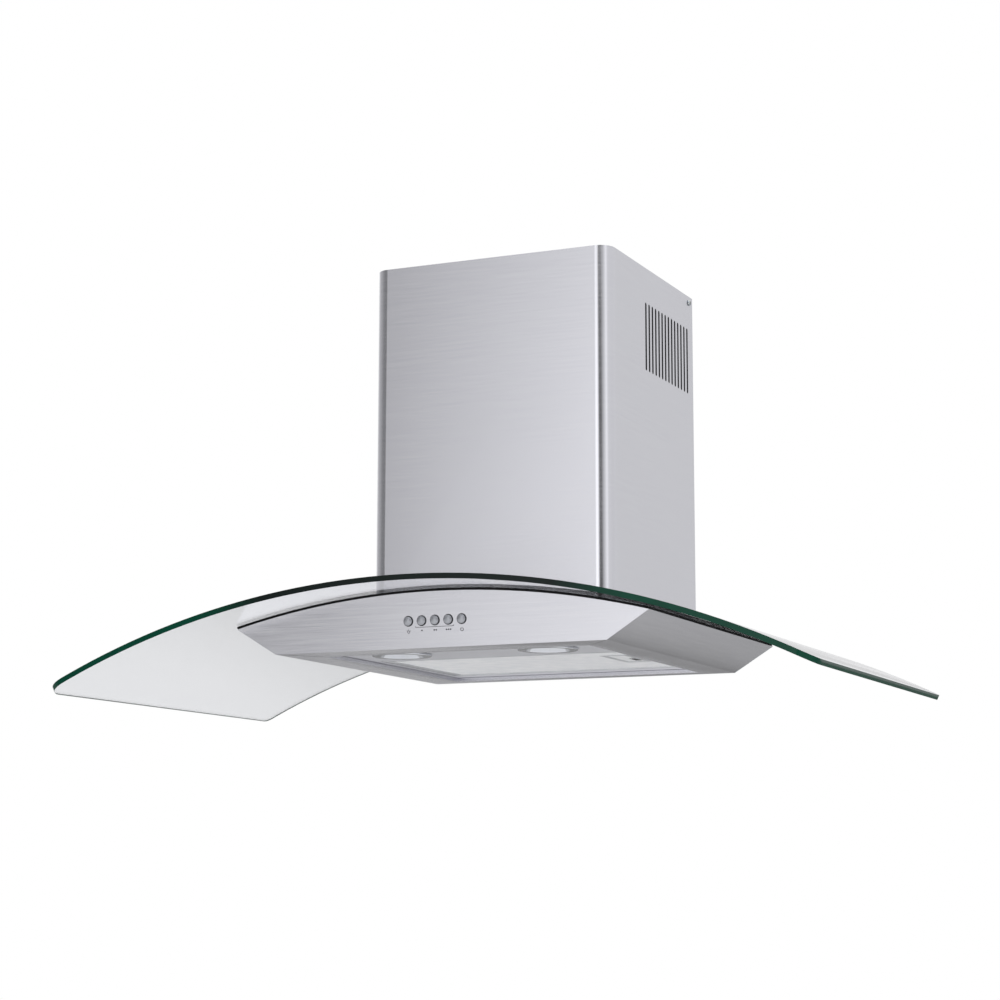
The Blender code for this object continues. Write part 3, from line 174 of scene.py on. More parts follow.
def galvanised_sheet():
    """Hot-dip galvanised steel: grey zinc crystals about 9 mm across, each a little different
    in tone and gloss."""
    look = material("galvanised_steel_spangled")
    tree = look.node_tree
    place = add(tree, "ShaderNodeTexCoord")
    cells = add(tree, "ShaderNodeTexVoronoi", {"Vector": place.outputs["Object"], "Scale": 110.0})
    tone = add(tree, "ShaderNodeSeparateColor", {"Color": cells.outputs["Color"]}).outputs[0]
    fine = fill_noise(tree, 0.0012, 3.0)
    colour = blend(tree, tone, linear("9aa0a4"), linear("bcc2c6"))
    normal = bumped(tree, fine, 0.00003, 0.4)
    shaded(tree, {"Base Color": colour, "Metallic": 1.0, "Normal": normal,
                  "Roughness": between(tree, tone, 0.34, 0.52, 0.0, 1.0)})
    return look


def satin_metal(name, light, dark, rough, grain, bump=0.00002):
    """A plain metal with a satin skin: small changes of tone and gloss, and a fine pitted
    grain."""
    look = material(name)
    tree = look.node_tree
    pits = fill_noise(tree, grain, 3.0)
    cloud = fill_noise(tree, grain * 25.0, 2.0)
    colour = blend(tree, between(tree, cloud, 0.0, 1.0), linear(dark), linear(light))
    shaded(tree, {"Base Color": colour, "Metallic": 1.0, "Normal": bumped(tree, pits, bump, 0.4),
                  "Roughness": between(tree, cloud, rough[0], rough[1])})
    return look


def passivated_zinc():
    """Electroplated zinc with a clear passivate: bright, with a faint blue to yellow bloom."""
    look = material("zinc_plated_steel")
    tree = look.node_tree
    bloom = fill_noise(tree, 0.004, 2.0)
    pits = fill_noise(tree, 0.0006, 2.0)
    colour = blend(tree, between(tree, bloom, 0.0, 1.0), linear("b9c2cf"), linear("d3cdb4"))
    normal = bumped(tree, pits, 0.00001, 0.3)
    shaded(tree, {"Base Color": colour, "Metallic": 1.0, "Normal": normal,
                  "Roughness": between(tree, bloom, 0.20, 0.32)})
    return look


def moulded_plastic(name, light, dark, rough, grain=0.0007, bump=0.00003):
    """Injection-moulded ABS with a fine spark-eroded texture and a slightly uneven gloss."""
    look = material(name)
    tree = look.node_tree
    pits = fill_noise(tree, grain, 2.0)
    flow = fill_noise(tree, 0.030, 2.0)
    colour = blend(tree, between(tree, flow, 0.0, 1.0), linear(dark), linear(light))
    shaded(tree, {"Base Color": colour, "Normal": bumped(tree, pits, bump, 0.5), "IOR": 1.53,
                  "Roughness": between(tree, flow, rough[0], rough[1])})
    return look


def toughened_glass():
    """Clear 6 mm float glass, toughened: nearly colourless through its faces, faintly wavy from
    the bending oven, with a light film of dust that shows as changes of gloss."""
    look = material("toughened_glass_clear")
    tree = look.node_tree
    wave = fill_noise(tree, 0.12, 1.0)
    film = fill_noise(tree, 0.05, 3.0)
    shaded(tree, {"Base Color": linear("f3f4f6"), "Transmission Weight": 1.0, "IOR": 1.52,
                  "Roughness": between(tree, film, 0.0, 0.02),
                  "Normal": bumped(tree, wave, 0.00002, 0.2)})
    return look


def ground_glass_edge():
    """The ground and polished rim of the glass: light that has run the length of the sheet
    leaves it deep green. Over the middle, above the steel, it is painted a darker grey-green as
    painted shade, and its two ends are painted a lighter grey-green."""
    look = material("toughened_glass_edge")
    tree = look.node_tree
    place = add(tree, "ShaderNodeTexCoord")
    axes = add(tree, "ShaderNodeSeparateXYZ", {0: place.outputs["Object"]})
    aside = add(tree, "ShaderNodeMath", {0: axes.outputs[0]}, operation="ABSOLUTE").outputs[0]
    # painted shade: the rim is painted darker grey-green over the middle, where the steel is
    # behind it
    shade = between(tree, aside, 0.0, 1.0, 0.17, 0.25)
    end = between(tree, aside, 0.0, 1.0, 0.4475, 0.4482)
    green = blend(tree, fill_noise(tree, 0.02, 2.0), linear("02382a"), linear("034835"))
    colour = blend(tree, shade, linear("141d1b"), green)
    colour = blend(tree, end, colour, linear("5d6b66"))
    grind = fill_noise(tree, 0.0008, 2.0)
    shaded(tree, {"Base Color": colour, "IOR": 1.52, "Normal": bumped(tree, grind, 0.00001, 0.3),
                  "Roughness": between(tree, grind, 0.10, 0.18), "Specular IOR Level": 0.15})
    return look


def frosted_lens():
    """Sand-blasted lamp glass: milky, with a fine pebbled face that spreads the light."""
    look = material("lamp_glass_frosted")
    tree = look.node_tree
    place = add(tree, "ShaderNodeTexCoord")
    beads = add(tree, "ShaderNodeTexVoronoi", {"Vector": place.outputs["Object"], "Scale": 700.0})
    dust = fill_noise(tree, 0.006, 2.0)
    colour = blend(tree, between(tree, dust, 0.0, 1.0), linear("dfe3e6"), linear("f4f6f7"))
    shaded(tree, {"Base Color": colour, "Transmission Weight": 0.35, "IOR": 1.5,
                  "Roughness": between(tree, dust, 0.30, 0.42),
                  "Normal": bumped(tree, beads.outputs["Distance"], 0.0002, 0.5)})
    return look


def gasket_rubber():
    """Extruded EPDM rubber: matt near-black with fine lines along its length and grey bloom."""
    look = material("epdm_rubber_black")
    tree = look.node_tree
    lines = fill_noise(tree, 0.0009, 2.0, (20.0, 1.0, 1.0))
    bloom = fill_noise(tree, 0.02, 3.0)
    colour = blend(tree, between(tree, bloom, 0.0, 1.0), linear("08080a"), linear("111113"))
    shaded(tree, {"Base Color": colour, "Normal": bumped(tree, lines, 0.00001, 0.1), "IOR": 1.5,
                  "Roughness": between(tree, bloom, 0.72, 0.85), "Specular IOR Level": 0.2})
    return look


def studio_floor():
    """Rolled pale floor paint, slightly mottled."""
    look = material("pale_floor_paint")
    tree = look.node_tree
    mottle = fill_noise(tree, 0.35, 3.0)
    nap = fill_noise(tree, 0.004, 2.0)
    colour = blend(tree, between(tree, mottle, 0.0, 1.0), linear("eceded"), linear("f3f3f4"))
    shaded(tree, {"Base Color": colour, "Roughness": between(tree, mottle, 0.55, 0.7),
                  "Normal": bumped(tree, nap, 0.0001, 0.2)})
    return look


LEVEL = (60.0, 60.0, 1.0)       # brushed lines run level round upright faces
CROSSWAYS = (60.0, 1.0, 60.0)   # brushed lines run left to right on flat faces

LOOKS = {
    "cover": brushed_stainless("stainless_430_brushed_cover", "d7d7dc", "d2d2d8", LEVEL),
    "canopy": brushed_stainless("stainless_430_brushed_canopy", "d7d7dc", "d1d1d7", LEVEL),
    "panel": brushed_stainless("stainless_430_brushed_panel", "dcdce1", "d6d6dc", CROSSWAYS,
                               rough=(0.30, 0.38)),
    "galvanised": galvanised_sheet(),
    "aluminium": satin_metal("aluminium_etched", "dcdde0", "cbcdd1", (0.30, 0.42), 0.0008),
    "foil": satin_metal("aluminium_foil_expanded", "fafafb", "f2f3f5", (0.62, 0.72), 0.0006),
    "zinc": passivated_zinc(),
    "chrome": satin_metal("abs_chrome_plated", "dfe1e6", "d3d5db", (0.07, 0.14), 0.0015, 0.000006),
    "cap": satin_metal("abs_satin_chrome_plated", "b4b6bb", "a6a8ae", (0.38, 0.46), 0.0006),
    "glass": toughened_glass(),
    "edge": ground_glass_edge(),
    "frosted": frosted_lens(),
    "rubber": gasket_rubber(),
    "sheath": moulded_plastic("pvc_sheath_grey", "3b3c3e", "2e2f31", (0.42, 0.52), 0.0012),
    "black": moulded_plastic("abs_black_moulded", "1d1d1f", "131315", (0.40, 0.52)),
    "grey": moulded_plastic("polypropylene_grey", "8b8e91", "7c7f83", (0.42, 0.55)),
    "white": moulded_plastic("abs_white_moulded", "e4e4e0", "d6d6d1", (0.38, 0.48)),
    "ink": moulded_plastic("pad_print_black", "15161a", "0c0d10", (0.50, 0.62), 0.0003, 0.00001),
}

SLOT_LOOKS = {"stainless": "canopy", "galvanised": "galvanised", "aluminium": "aluminium",
              "zinc": "zinc", "chrome": "chrome", "glass": "glass", "frosted_glass": "frosted",
              "rubber": "rubber", "lead_sheath": "sheath", "black_plastic": "black",
              "grey_plastic": "grey", "white_plastic": "white"}
OWN_LOOKS = {"chimney_cover": "cover", "bottom_panel": "panel", "filter_mesh": "foil"}
OWN_LOOKS.update({f"push_button_{n}": "cap" for n in range(1, BUTTON_COUNT + 1)})

SLOTS = {part["node"]: part["material_slot"] for part in frame["record"]["subparts"]}
BODIES = {node: body for body, nodes in frame["record"]["behaviour"]["bodies"].items()
          for node in nodes}


def look_of(node):
    return LOOKS[OWN_LOOKS.get(node) or SLOT_LOOKS[SLOTS[node]]]


for node, part in frame["nodes"].items():
    part.data.materials.clear()
    part.data.materials.append(look_of(node))


# ---------------------------------------------------------------- pieces made from the CAD parts

def kept(piece, body, slot, *nodes):
    """Hands a finished piece to its body, in place of these CAD nodes; the slot is not used."""
    bpy.context.scene.collection.objects.link(piece)
    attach(piece, body)
    if nodes:
        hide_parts(*nodes)


def plain(source, name):
    """The evaluated shape of an object as a new plain mesh object at the origin."""
    graph = bpy.context.evaluated_depsgraph_get()
    mesh = bpy.data.meshes.new_from_object(source.evaluated_get(graph), depsgraph=graph)
    mesh.name = name
    bpy.data.objects.remove(source)
    return bpy.data.objects.new(name, mesh)


def eased(node, width, segments=2, smooth_below=32.0):
    """A copy of a CAD part in its own look, with its corners eased by width and its curved
    faces smoothed."""
    mesh = frame["nodes"][node].data.copy()
    bm = bmesh.new()
    bm.from_mesh(mesh)
    bmesh.ops.remove_doubles(bm, verts=bm.verts, dist=0.000002)
    bmesh.ops.dissolve_limit(bm, angle_limit=math.radians(0.4), verts=bm.verts, edges=bm.edges)
    bm.to_mesh(mesh)
    bm.free()
    piece = bpy.data.objects.new("being_eased", mesh)
    bpy.context.scene.collection.objects.link(piece)
    mesh.shade_smooth()
    if width:
        bevel = piece.modifiers.new("eased corners", "BEVEL")
        bevel.width = width
        bevel.segments = segments
        bevel.limit_method = "ANGLE"
        bevel.angle_limit = math.radians(smooth_below)
        bevel.miter_outer = "MITER_ARC"
        bevel.use_clamp_overlap = True
        bevel.harden_normals = True
    else:
        mesh.set_sharp_from_angle(angle=math.radians(smooth_below))
    weighted = piece.modifiers.new("flat faces stay flat", "WEIGHTED_NORMAL")
    weighted.keep_sharp = True
    piece = plain(piece, f"{node}_eased")
    piece.data.materials.clear()
    piece.data.materials.append(look_of(node))
    return piece


EASED = {
    "canopy_shell": 0.0006, "chimney_cover": 0.0003, "bottom_panel": 0.0002,
    "canopy_back_panel": 0.0003, "glass_gasket": 0.0003,
    "filter_frame": 0.0005, "filter_latch_plate": 0.0003, "filter_latch": 0.0003,
    "lamp_bezel_left": 0.0003, "lamp_bezel_right": 0.0003,
    "lamp_lens_left": 0.0002, "lamp_lens_right": 0.0002,
    "lamp_holder_left": 0.0, "lamp_holder_right": 0.0,
    "lamp_bulb_left": 0.0, "lamp_bulb_right": 0.0,
    "chimney_wall_bracket": 0.0002, "hanger_plate": 0.0003, "blower_box": 0.0002,
    "scroll_housing": 0.0, "blower_wheel": 0.0, "motor_shaft": 0.0, "motor": 0.0,
    "outlet_collar": 0.0, "damper_flap_front": 0.0, "damper_flap_rear": 0.0,
    "damper_pin": 0.0, "capacitor": 0.0, "cable_gland": 0.0, "junction_box": 0.0005,
    "junction_box_lid": 0.0005, "switch_housing": 0.0005,
    "motor_lead": 0.0, "switch_lead": 0.0, "lamp_lead_left": 0.0, "lamp_lead_right": 0.0,
    **{f"push_button_{n}": 0.0 for n in range(1, BUTTON_COUNT + 1)},
}
for node, width in EASED.items():
    kept(eased(node, width), BODIES[node], SLOTS[node], node)


def latch_spring():
    """The coil between the filter's pocket and the latch, which shortens as the latch slides; here
    it is a smoothed copy with its place baked into its mesh, and it does not shorten.
    """
    node = "filter_latch_spring"
    piece = eased(node, 0.0)
    bpy.context.scene.collection.objects.link(piece)
    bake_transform(piece)
    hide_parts(node)


latch_spring()


def visor():
    """The glass sheet with a polished arris, its rim in the darker edge material."""
    piece = eased("glass_visor", 0.0008, 3)
    mesh = piece.data
    mesh.materials.append(LOOKS["edge"])
    for face in mesh.polygons:
        outward = Vector((face.center.x, 0.0, face.center.z - ARCH_CENTRE_Z)).normalized()
        if abs(face.normal.dot(outward)) < 0.8:
            face.material_index = 1
    kept(piece, "hood", "glass", "glass_visor")


visor()


# ---------------------------------------------------------------- repeated shapes, grown by trees

def tree_with(name, *inputs):
    """A geometry tree with named inputs of (name, socket kind, value), and one mesh output."""
    tree = bpy.data.node_groups.new(name, "GeometryNodeTree")
    for label, kind, value in inputs:
        socket = tree.interface.new_socket(label, in_out="INPUT", socket_type=kind)
        if value is not None:
            socket.default_value = value
    tree.interface.new_socket("Shape", in_out="OUTPUT", socket_type="NodeSocketGeometry")
    return tree, add(tree, "NodeGroupInput").outputs


def end_tree(tree, shape, look):
    """Ends a tree in one real mesh with its material."""
    real = add(tree, "GeometryNodeRealizeInstances", {0: shape})
    painted = add(tree, "GeometryNodeSetMaterial", {"Geometry": real.outputs[0], "Material": look})
    add(tree, "NodeGroupOutput", {0: painted.outputs[0]})


def grown(name, tree, values, place=Matrix.Identity(4)):
    """The mesh that a tree grows with these values, moved to its place."""
    seed = bpy.data.objects.new("seed", bpy.data.meshes.new("seed"))
    bpy.context.scene.collection.objects.link(seed)
    modifier = seed.modifiers.new("growth", "NODES")
    modifier.node_group = tree
    for socket in tree.interface.items_tree:
        if socket.in_out == "INPUT" and socket.name in values:
            modifier[socket.identifier] = values[socket.name]
    piece = plain(seed, name)
    piece.data.transform(place)
    return piece


def expanded_sheet_tree():
    """Expanded aluminium foil: slit and stretched strands that meet in diamonds. Each row is
    a zigzag strand, and every second row starts half a cell later."""
    tree, given = tree_with(
        "expanded aluminium sheet",
        ("Columns", "NodeSocketInt", 90), ("Rows", "NodeSocketInt", 120),
        ("Half cell", "NodeSocketFloat", 0.003), ("Rise", "NodeSocketFloat", 0.0015),
        ("Strand width", "NodeSocketFloat", 0.0005), ("Strand depth", "NodeSocketFloat", 0.0003),
    )
    step = vector(tree, given["Half cell"])
    line = add(tree, "GeometryNodeMeshLine", {"Count": given["Columns"], "Offset": step})
    index = add(tree, "GeometryNodeInputIndex")
    odd = add(tree, "ShaderNodeMath", {0: index.outputs[0], 1: 2.0}, operation="MODULO")
    zigzag = vector(tree, 0.0, times(tree, odd.outputs[0], given["Rise"]))
    bent = add(tree, "GeometryNodeSetPosition", {"Geometry": line.outputs[0], "Offset": zigzag})
    strand = add(tree, "GeometryNodeMeshToCurve", {"Mesh": bent.outputs[0]})
    section = add(tree, "GeometryNodeCurvePrimitiveQuadrilateral",
                  {"Width": given["Strand depth"], "Height": given["Strand width"]})
    row = add(tree, "GeometryNodeCurveToMesh",
              {"Curve": strand.outputs[0], "Profile Curve": section.outputs[0], "Fill Caps": True})
    pitch = vector(tree, 0.0, given["Rise"])
    starts = add(tree, "GeometryNodeMeshLine", {"Count": given["Rows"], "Offset": pitch})
    row_index = add(tree, "GeometryNodeInputIndex")
    row_odd = add(tree, "ShaderNodeMath", {0: row_index.outputs[0], 1: 2.0}, operation="MODULO")
    shifted = vector(tree, times(tree, row_odd.outputs[0], given["Half cell"]))
    placed = add(tree, "GeometryNodeSetPosition",
                 {"Geometry": starts.outputs[0], "Offset": shifted})
    rows = add(tree, "GeometryNodeInstanceOnPoints",
               {"Points": placed.outputs[0], "Instance": row.outputs[0]})
    end_tree(tree, rows.outputs[0], LOOKS["foil"])
    return tree


def filter_face():
    """The expanded sheet that shows in the filter's opening, below the foil pack."""
    low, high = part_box("filter_mesh")
    half_cell, rise, depth = 0.0030, 0.0015, 0.0004
    columns = int((high.x - low.x) / half_cell)
    rows = int((high.y - low.y) / rise) - 1
    tree = expanded_sheet_tree()
    corner = Vector((low.x + 0.0005, low.y + 0.0005, low.z - depth * 0.6))
    piece = grown("filter_expanded_sheet", tree,
                  {"Columns": columns, "Rows": rows, "Half cell": half_cell, "Rise": rise,
                   "Strand width": 0.0006, "Strand depth": depth}, Matrix.Translation(corner))
    kept(piece, "filter", "aluminium")


filter_face()


def front_place(x, z, out=0.0):
    """The place at x and height z on the canopy's front face: local X is level, local Y goes
    up the face and local Z out of it."""
    level = Vector((1.0, 0.0, 0.0))
    up = Vector((0.0, -math.sin(FRONT_LEAN), math.cos(FRONT_LEAN)))
    outward = level.cross(up)
    face_y = CANOPY_FRONT - math.tan(FRONT_LEAN) * (z - CANOPY_BOTTOM)
    place = Matrix((level, up, outward)).transposed().to_4x4()
    place.translation = Vector((x, face_y, z)) + outward * out
    return place


def shade_ring_tree():
    """A row of thin black rings, one round each button: painted shade for the dark rim of the
    recess that each button sits in.
    """
    tree, given = tree_with(
        "row of button guides",
        ("Count", "NodeSocketInt", 5), ("Pitch", "NodeSocketFloat", 0.016),
        ("Radius", "NodeSocketFloat", 0.0056), ("Wire", "NodeSocketFloat", 0.00025),
    )
    circle = add(tree, "GeometryNodeCurvePrimitiveCircle",
                 {"Resolution": 64, "Radius": given["Radius"]})
    wire = add(tree, "GeometryNodeCurvePrimitiveCircle",
               {"Resolution": 10, "Radius": given["Wire"]})
    ring = add(tree, "GeometryNodeCurveToMesh",
               {"Curve": circle.outputs[0], "Profile Curve": wire.outputs[0]})
    step = vector(tree, given["Pitch"])
    centres = add(tree, "GeometryNodeMeshLine", {"Count": given["Count"], "Offset": step})
    rings = add(tree, "GeometryNodeInstanceOnPoints",
                {"Points": centres.outputs[0], "Instance": ring.outputs[0]})
    # the rings' black is painted shade round each button
    end_tree(tree, rings.outputs[0], LOOKS["black"])
    return tree


def button_shade_rings():
    first = -(BUTTON_COUNT - 1) / 2 * BUTTON_PITCH
    place = front_place(first, BUTTON_Z, 0.0001)
    # black rings round the buttons as painted shade
    piece = grown("button_rings_painted_shade", shade_ring_tree(),
                  {"Count": BUTTON_COUNT, "Pitch": BUTTON_PITCH}, place)
    piece.data.shade_smooth()
    kept(piece, "hood", "black_plastic")


button_shade_rings()


def screw_tree():
    """A pan-head screw with a cross recess and a rolled thread, its head towards +Z and the
    seat of the head at the origin."""
    tree, given = tree_with(
        "cross-recess screw",
        ("Head radius", "NodeSocketFloat", 0.0035), ("Head height", "NodeSocketFloat", 0.0020),
        ("Shank radius", "NodeSocketFloat", 0.0018), ("Length", "NodeSocketFloat", 0.010),
        ("Pitch", "NodeSocketFloat", 0.0012),
    )
    head_radius, head_height = given["Head radius"], given["Head height"]
    length = given["Length"]
    ball = add(tree, "GeometryNodeMeshUVSphere", {"Segments": 32, "Rings": 20, "Radius": 1.0})
    size = vector(tree, head_radius, head_radius, head_height)
    dome = add(tree, "GeometryNodeTransform", {"Geometry": ball.outputs[0], "Scale": size})
    wide = times(tree, head_radius, 3.0)
    block = add(tree, "GeometryNodeMeshCube", {"Size": vector(tree, wide, wide, wide)})
    drop = vector(tree, 0.0, 0.0, times(tree, wide, -0.5))
    under = add(tree, "GeometryNodeTransform", {"Geometry": block.outputs[0], "Translation": drop})
    arm, thin = times(tree, head_radius, 1.1), times(tree, head_radius, 0.26)
    lift = vector(tree, 0.0, 0.0, times(tree, head_height, 1.05))
    bars = []
    for along, across in ((arm, thin), (thin, arm)):
        bar_size = vector(tree, along, across, head_height)
        cube = add(tree, "GeometryNodeMeshCube", {"Size": bar_size})
        bars.append(add(tree, "GeometryNodeTransform",
                        {"Geometry": cube.outputs[0], "Translation": lift}))
    head = add(tree, "GeometryNodeMeshBoolean", {0: dome.outputs[0], 1: under.outputs[0]},
               operation="DIFFERENCE", solver="EXACT")
    for slot in bars:
        tree.links.new(slot.outputs[0], head.inputs[1])
    tip = vector(tree, 0.0, 0.0, times(tree, length, -1.0))
    core = add(tree, "GeometryNodeCurvePrimitiveLine", {"Start": (0.0, 0.0, 0.0), "End": tip})
    root = times(tree, given["Shank radius"], 0.82)
    round_section = add(tree, "GeometryNodeCurvePrimitiveCircle",
                        {"Resolution": 16, "Radius": root})
    shank = add(tree, "GeometryNodeCurveToMesh", {
        "Curve": core.outputs[0], "Profile Curve": round_section.outputs[0], "Fill Caps": True})
    turns = add(tree, "ShaderNodeMath", {0: length, 1: given["Pitch"]}, operation="DIVIDE")
    spiral = add(tree, "GeometryNodeCurveSpiral", {
        "Resolution": 12, "Rotations": times(tree, turns.outputs[0], 0.8),
        "Start Radius": root, "End Radius": root, "Height": times(tree, length, 0.8)})
    start = vector(tree, 0.0, 0.0, times(tree, length, -0.95))
    lowered = add(tree, "GeometryNodeTransform",
                  {"Geometry": spiral.outputs[0], "Translation": start})
    crest = times(tree, given["Shank radius"], 0.16)
    thread_section = add(tree, "GeometryNodeCurvePrimitiveCircle",
                         {"Resolution": 4, "Radius": crest})
    thread = add(tree, "GeometryNodeCurveToMesh", {
        "Curve": lowered.outputs[0], "Profile Curve": thread_section.outputs[0],
        "Fill Caps": True})
    whole = add(tree, "GeometryNodeJoinGeometry", {0: head.outputs[0]})
    tree.links.new(shank.outputs[0], whole.inputs[0])
    tree.links.new(thread.outputs[0], whole.inputs[0])
    end_tree(tree, whole.outputs[0], LOOKS["zinc"])
    return tree


def screws():
    """Each CAD screw's place and size, filled by a screw with a recess and thread."""
    tree = screw_tree()
    heads = {
        "chimney_screw_left": (-1, 0, 0), "chimney_screw_right": (1, 0, 0),
        "hanger_screw_left": (0, -1, 0), "hanger_screw_right": (0, -1, 0),
    }
    for node, outward in heads.items():
        outward = Vector(outward)
        low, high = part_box(node)
        middle = (low + high) / 2
        axis = max(range(3), key=lambda i: abs(outward[i]))
        others = [i for i in range(3) if i != axis]
        radius = (high[others[0]] - low[others[0]]) / 2
        length = high[axis] - low[axis]
        height = radius * 0.55
        top = middle + outward * (length / 2)
        place = outward.to_track_quat("Z", "Y").to_matrix().to_4x4()
        place.translation = top - outward * height
        piece = grown(f"{node}_threaded", tree, {
            "Head radius": radius, "Head height": height, "Shank radius": radius * 0.5,
            "Length": length - height, "Pitch": 0.0014}, place)
        piece.data.shade_smooth()
        piece.data.set_sharp_from_angle(angle=math.radians(35))
        kept(piece, "hood", "zinc", node)


screws()


# ---------------------------------------------------------------- printed marks and mitre lines

def flat_mark(bm, points, thickness=INK):
    """A thin plate with this outline, in the local plane of the front face."""
    low = [bm.verts.new((x, y, 0.00002)) for x, y in points]
    high = [bm.verts.new((x, y, 0.00002 + thickness)) for x, y in points]
    bm.faces.new(high)
    bm.faces.new(low[::-1])
    for i, vert in enumerate(low):
        j = (i + 1) % len(low)
        bm.faces.new((vert, low[j], high[j], high[i]))


def bar(bm, start, end, width):
    start, end = Vector(start), Vector(end)
    side = (end - start).normalized().orthogonal() * width / 2
    flat_mark(bm, [start - side, end - side, end + side, start + side])


def polar(centre, distance, angle):
    return (centre[0] + distance * math.cos(angle), centre[1] + distance * math.sin(angle))


def dot(bm, centre, radius, steps=16):
    flat_mark(bm, [polar(centre, radius, 2 * math.pi * i / steps) for i in range(steps)])


def open_ring(bm, centre, radius, width, start, end, steps=20):
    angles = [math.radians(start + (end - start) * i / steps) for i in range(steps + 1)]
    for first, second in zip(angles, angles[1:]):
        corners = [(radius - width / 2, first), (radius + width / 2, first),
                   (radius + width / 2, second), (radius - width / 2, second)]
        flat_mark(bm, [polar(centre, distance, angle) for distance, angle in corners])


def control_marks():
    """Generic pad-printed marks: a lamp, three speeds as dots under a bracket, and a switch
    sign. Heights are measured up the face from the buttons' centres."""
    bm = bmesh.new()
    line, rows = -0.0071, -0.0115
    left, right = -0.0235, 0.0220
    bar(bm, (left, line), (right, line), 0.0005)
    bar(bm, (left, line - 0.0001), (left, line + 0.0013), 0.0005)
    bar(bm, (right, line - 0.0001), (right, line + 0.0013), 0.0005)
    for count, x in ((1, -BUTTON_PITCH), (2, 0.0), (3, BUTTON_PITCH)):
        for k in range(count):
            dot(bm, (x + (k - (count - 1) / 2) * 0.0024, rows + 0.0008), 0.00085)
    lamp = -2 * BUTTON_PITCH
    open_ring(bm, (lamp, rows), 0.0013, 0.0006, -50, 230)
    bar(bm, (lamp - 0.0008, rows - 0.0017), (lamp + 0.0008, rows - 0.0017), 0.0006)
    for angle in (30, 90, 150):
        ray = Vector((math.cos(math.radians(angle)), math.sin(math.radians(angle))))
        bar(bm, Vector((lamp, rows)) + ray * 0.0020, Vector((lamp, rows)) + ray * 0.0028, 0.0005)
    switch = 2 * BUTTON_PITCH
    open_ring(bm, (switch, rows + 0.0002), 0.0017, 0.0006, 125, 415)
    bar(bm, (switch, rows + 0.0006), (switch, rows + 0.0026), 0.0006)
    mesh = bpy.data.meshes.new("control_marks")
    bm.to_mesh(mesh)
    bm.free()
    mesh.transform(front_place(0.0, BUTTON_Z))
    mesh.materials.append(LOOKS["ink"])
    kept(bpy.data.objects.new("control_marks", mesh), "hood", "black_plastic")


control_marks()


def flange_seams():
    """The two mitre lines where the front and side return flanges meet under the canopy."""
    bm = bmesh.new()
    for side in (-1, 1):
        outer = (side * (CANOPY_HALF_BOTTOM - 0.001), -CANOPY_FRONT - 0.001)
        inner = (side * (OPENING_HALF_WIDTH + 0.001), -OPENING_FRONT + 0.001)
        bar(bm, outer, inner, 0.0006)
    mesh = bpy.data.meshes.new("flange_mitre_lines")
    bm.to_mesh(mesh)
    bm.free()
    turn = Matrix.Rotation(math.pi, 4, "X")
    mesh.transform(Matrix.Translation((0.0, 0.0, CANOPY_BOTTOM)) @ turn)
    mesh.materials.append(LOOKS["sheath"])
    kept(bpy.data.objects.new("flange_mitre_lines", mesh), "hood", "black_plastic")


flange_seams()


# ---------------------------------------------------------------- floor, light and camera

WHITE = (1.0, 1.0, 1.0, 1.0)

# Brightness of the room's walls by compass angle: 0 degrees is straight in front of the
# hood and 90 degrees is to its right
WALL_TONES = [
    (-180, 0.60), (-160, 0.85), (-148, 1.0), (-125, 0.80), (-90, 0.50), (-50, 0.25),
    (-37, 0.24), (-31.5, 0.24), (-29.8, 0.08), (-28.6, 0.60), (-25, 0.98), (-21, 1.16),
    (-18, 1.70), (-2, 1.70), (5, 0.70), (10, 0.10), (24, 0.10), (36, 0.55), (50, 0.90),
    (62, 1.20), (80, 0.85), (110, 0.84), (150, 0.84), (160, 0.78), (179, 0.60),
]


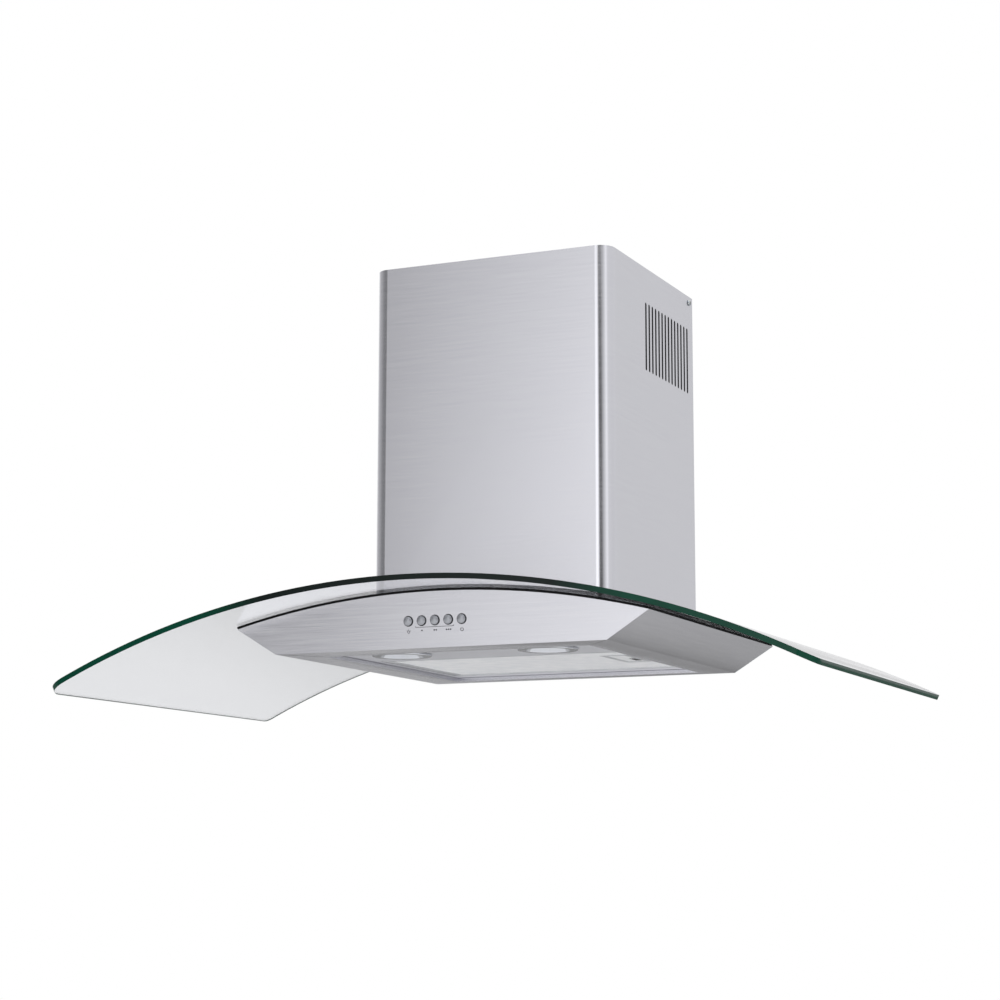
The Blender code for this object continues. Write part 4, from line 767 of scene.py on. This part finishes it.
def studio():
    """A pale floor, a soft room of light and two large soft lamps. The room is brightest in
    front, with darker gaps beside it that give the steel its shading. Its ceiling is white,
    it is dim low down behind, and what the camera sees past the hood is white."""
    bm = bmesh.new()
    bmesh.ops.create_circle(bm, cap_ends=True, segments=96, radius=FLOOR_RADIUS)
    mesh = bpy.data.meshes.new("studio_floor")
    bm.to_mesh(mesh)
    bm.free()
    mesh.transform(Matrix.Translation((0.0, -0.2, FLOOR_HEIGHT)))
    mesh.materials.append(studio_floor())
    floor = bpy.data.objects.new("studio_floor", mesh)
    bpy.context.scene.collection.objects.link(floor)

    world = bpy.data.worlds.new("studio_room")
    world.use_nodes = True
    tree = world.node_tree
    tree.nodes.clear()
    ray = add(tree, "ShaderNodeTexCoord")
    axes = add(tree, "ShaderNodeSeparateXYZ", {0: ray.outputs["Generated"]})
    height = axes.outputs[2]
    forward = times(tree, axes.outputs[1], -1.0)
    turn = add(tree, "ShaderNodeMath", {0: axes.outputs[0], 1: forward},
               operation="ARCTAN2").outputs[0]
    round_room = between(tree, turn, 0.0, 1.0, -math.pi, math.pi)
    walls = add(tree, "ShaderNodeValToRGB", {0: round_room})
    ramp = walls.color_ramp
    ramp.interpolation = "EASE"
    while len(ramp.elements) < len(WALL_TONES):
        ramp.elements.new(0.5)
    for element, (angle, value) in zip(ramp.elements, WALL_TONES):
        element.position = (angle + 180) / 360
        element.color = (value, value, value * 1.01, 1.0)
    rise = between(tree, height, 0.0, 1.0, 0.25, 0.8, "SMOOTHSTEP")
    room = blend(tree, rise, walls.outputs[0], WHITE)
    high = between(tree, height, 0.0, 1.0, 0.17, 0.30, "SMOOTHSTEP")
    ahead = between(tree, forward, 0.0, 0.30, 0.5, 0.8)
    room = blend(tree, times(tree, high, ahead), room, (0.0, 0.0, 0.0, 1.0))
    below = between(tree, height, 0.0, 1.0, 0.0, -0.10, "SMOOTHSTEP")
    behind = between(tree, axes.outputs[1], 0.0, 1.0, 0.0, 0.3, "SMOOTHSTEP")
    depth = between(tree, height, 0.24, 0.54, -0.17, -0.42)
    room = blend(tree, times(tree, below, behind), room, depth)
    under = between(tree, height, 0.0, 1.0, -0.07, -0.18, "SMOOTHSTEP")
    before = between(tree, forward, 0.0, 1.0, 0.0, 0.3, "SMOOTHSTEP")
    room = blend(tree, times(tree, under, before), room, WHITE)
    seen = add(tree, "ShaderNodeLightPath")
    final = blend(tree, seen.outputs["Is Camera Ray"], room, WHITE)
    back = add(tree, "ShaderNodeBackground", {"Color": final, "Strength": 1.0})
    add(tree, "ShaderNodeOutputWorld", {"Surface": back.outputs[0]})
    bpy.context.scene.world = world

    for name, place, size, power in (("softbox_front", (1.4, -3.2, 2.8), 1.8, 16.0),
                                     ("softbox_overhead", (0.0, 0.4, 3.0), 2.0, 12.0)):
        light = bpy.data.lights.new(name, "AREA")
        light.shape = "SQUARE"
        light.size = size
        light.energy = power
        lamp = bpy.data.objects.new(name, light)
        aim = Vector((0.0, -0.2, 0.1)) - Vector(place)
        lamp.matrix_world = Matrix.LocRotScale(Vector(place), aim.to_track_quat("-Z", "Y"), None)
        bpy.context.scene.collection.objects.link(lamp)


def camera():
    ahead = Vector((-math.sin(CAMERA_YAW) * math.cos(CAMERA_PITCH),
                    math.cos(CAMERA_YAW) * math.cos(CAMERA_PITCH), math.sin(CAMERA_PITCH)))
    right = Vector((math.cos(CAMERA_YAW), math.sin(CAMERA_YAW), 0.0))
    up = right.cross(ahead)
    right, up = (right * math.cos(CAMERA_ROLL) + up * math.sin(CAMERA_ROLL),
                 up * math.cos(CAMERA_ROLL) - right * math.sin(CAMERA_ROLL))
    data = bpy.data.cameras.new("front_right_low")
    data.sensor_width = 36.0
    data.lens = CAMERA_LENS
    eye = bpy.data.objects.new("front_right_low", data)
    place = Matrix((right, up, -ahead)).transposed().to_4x4()
    place.translation = CAMERA_PLACE
    eye.matrix_world = place
    bpy.context.scene.collection.objects.link(eye)
    bpy.context.scene.camera = eye


studio()
camera()
bpy.context.scene.view_settings.view_transform = "Standard"
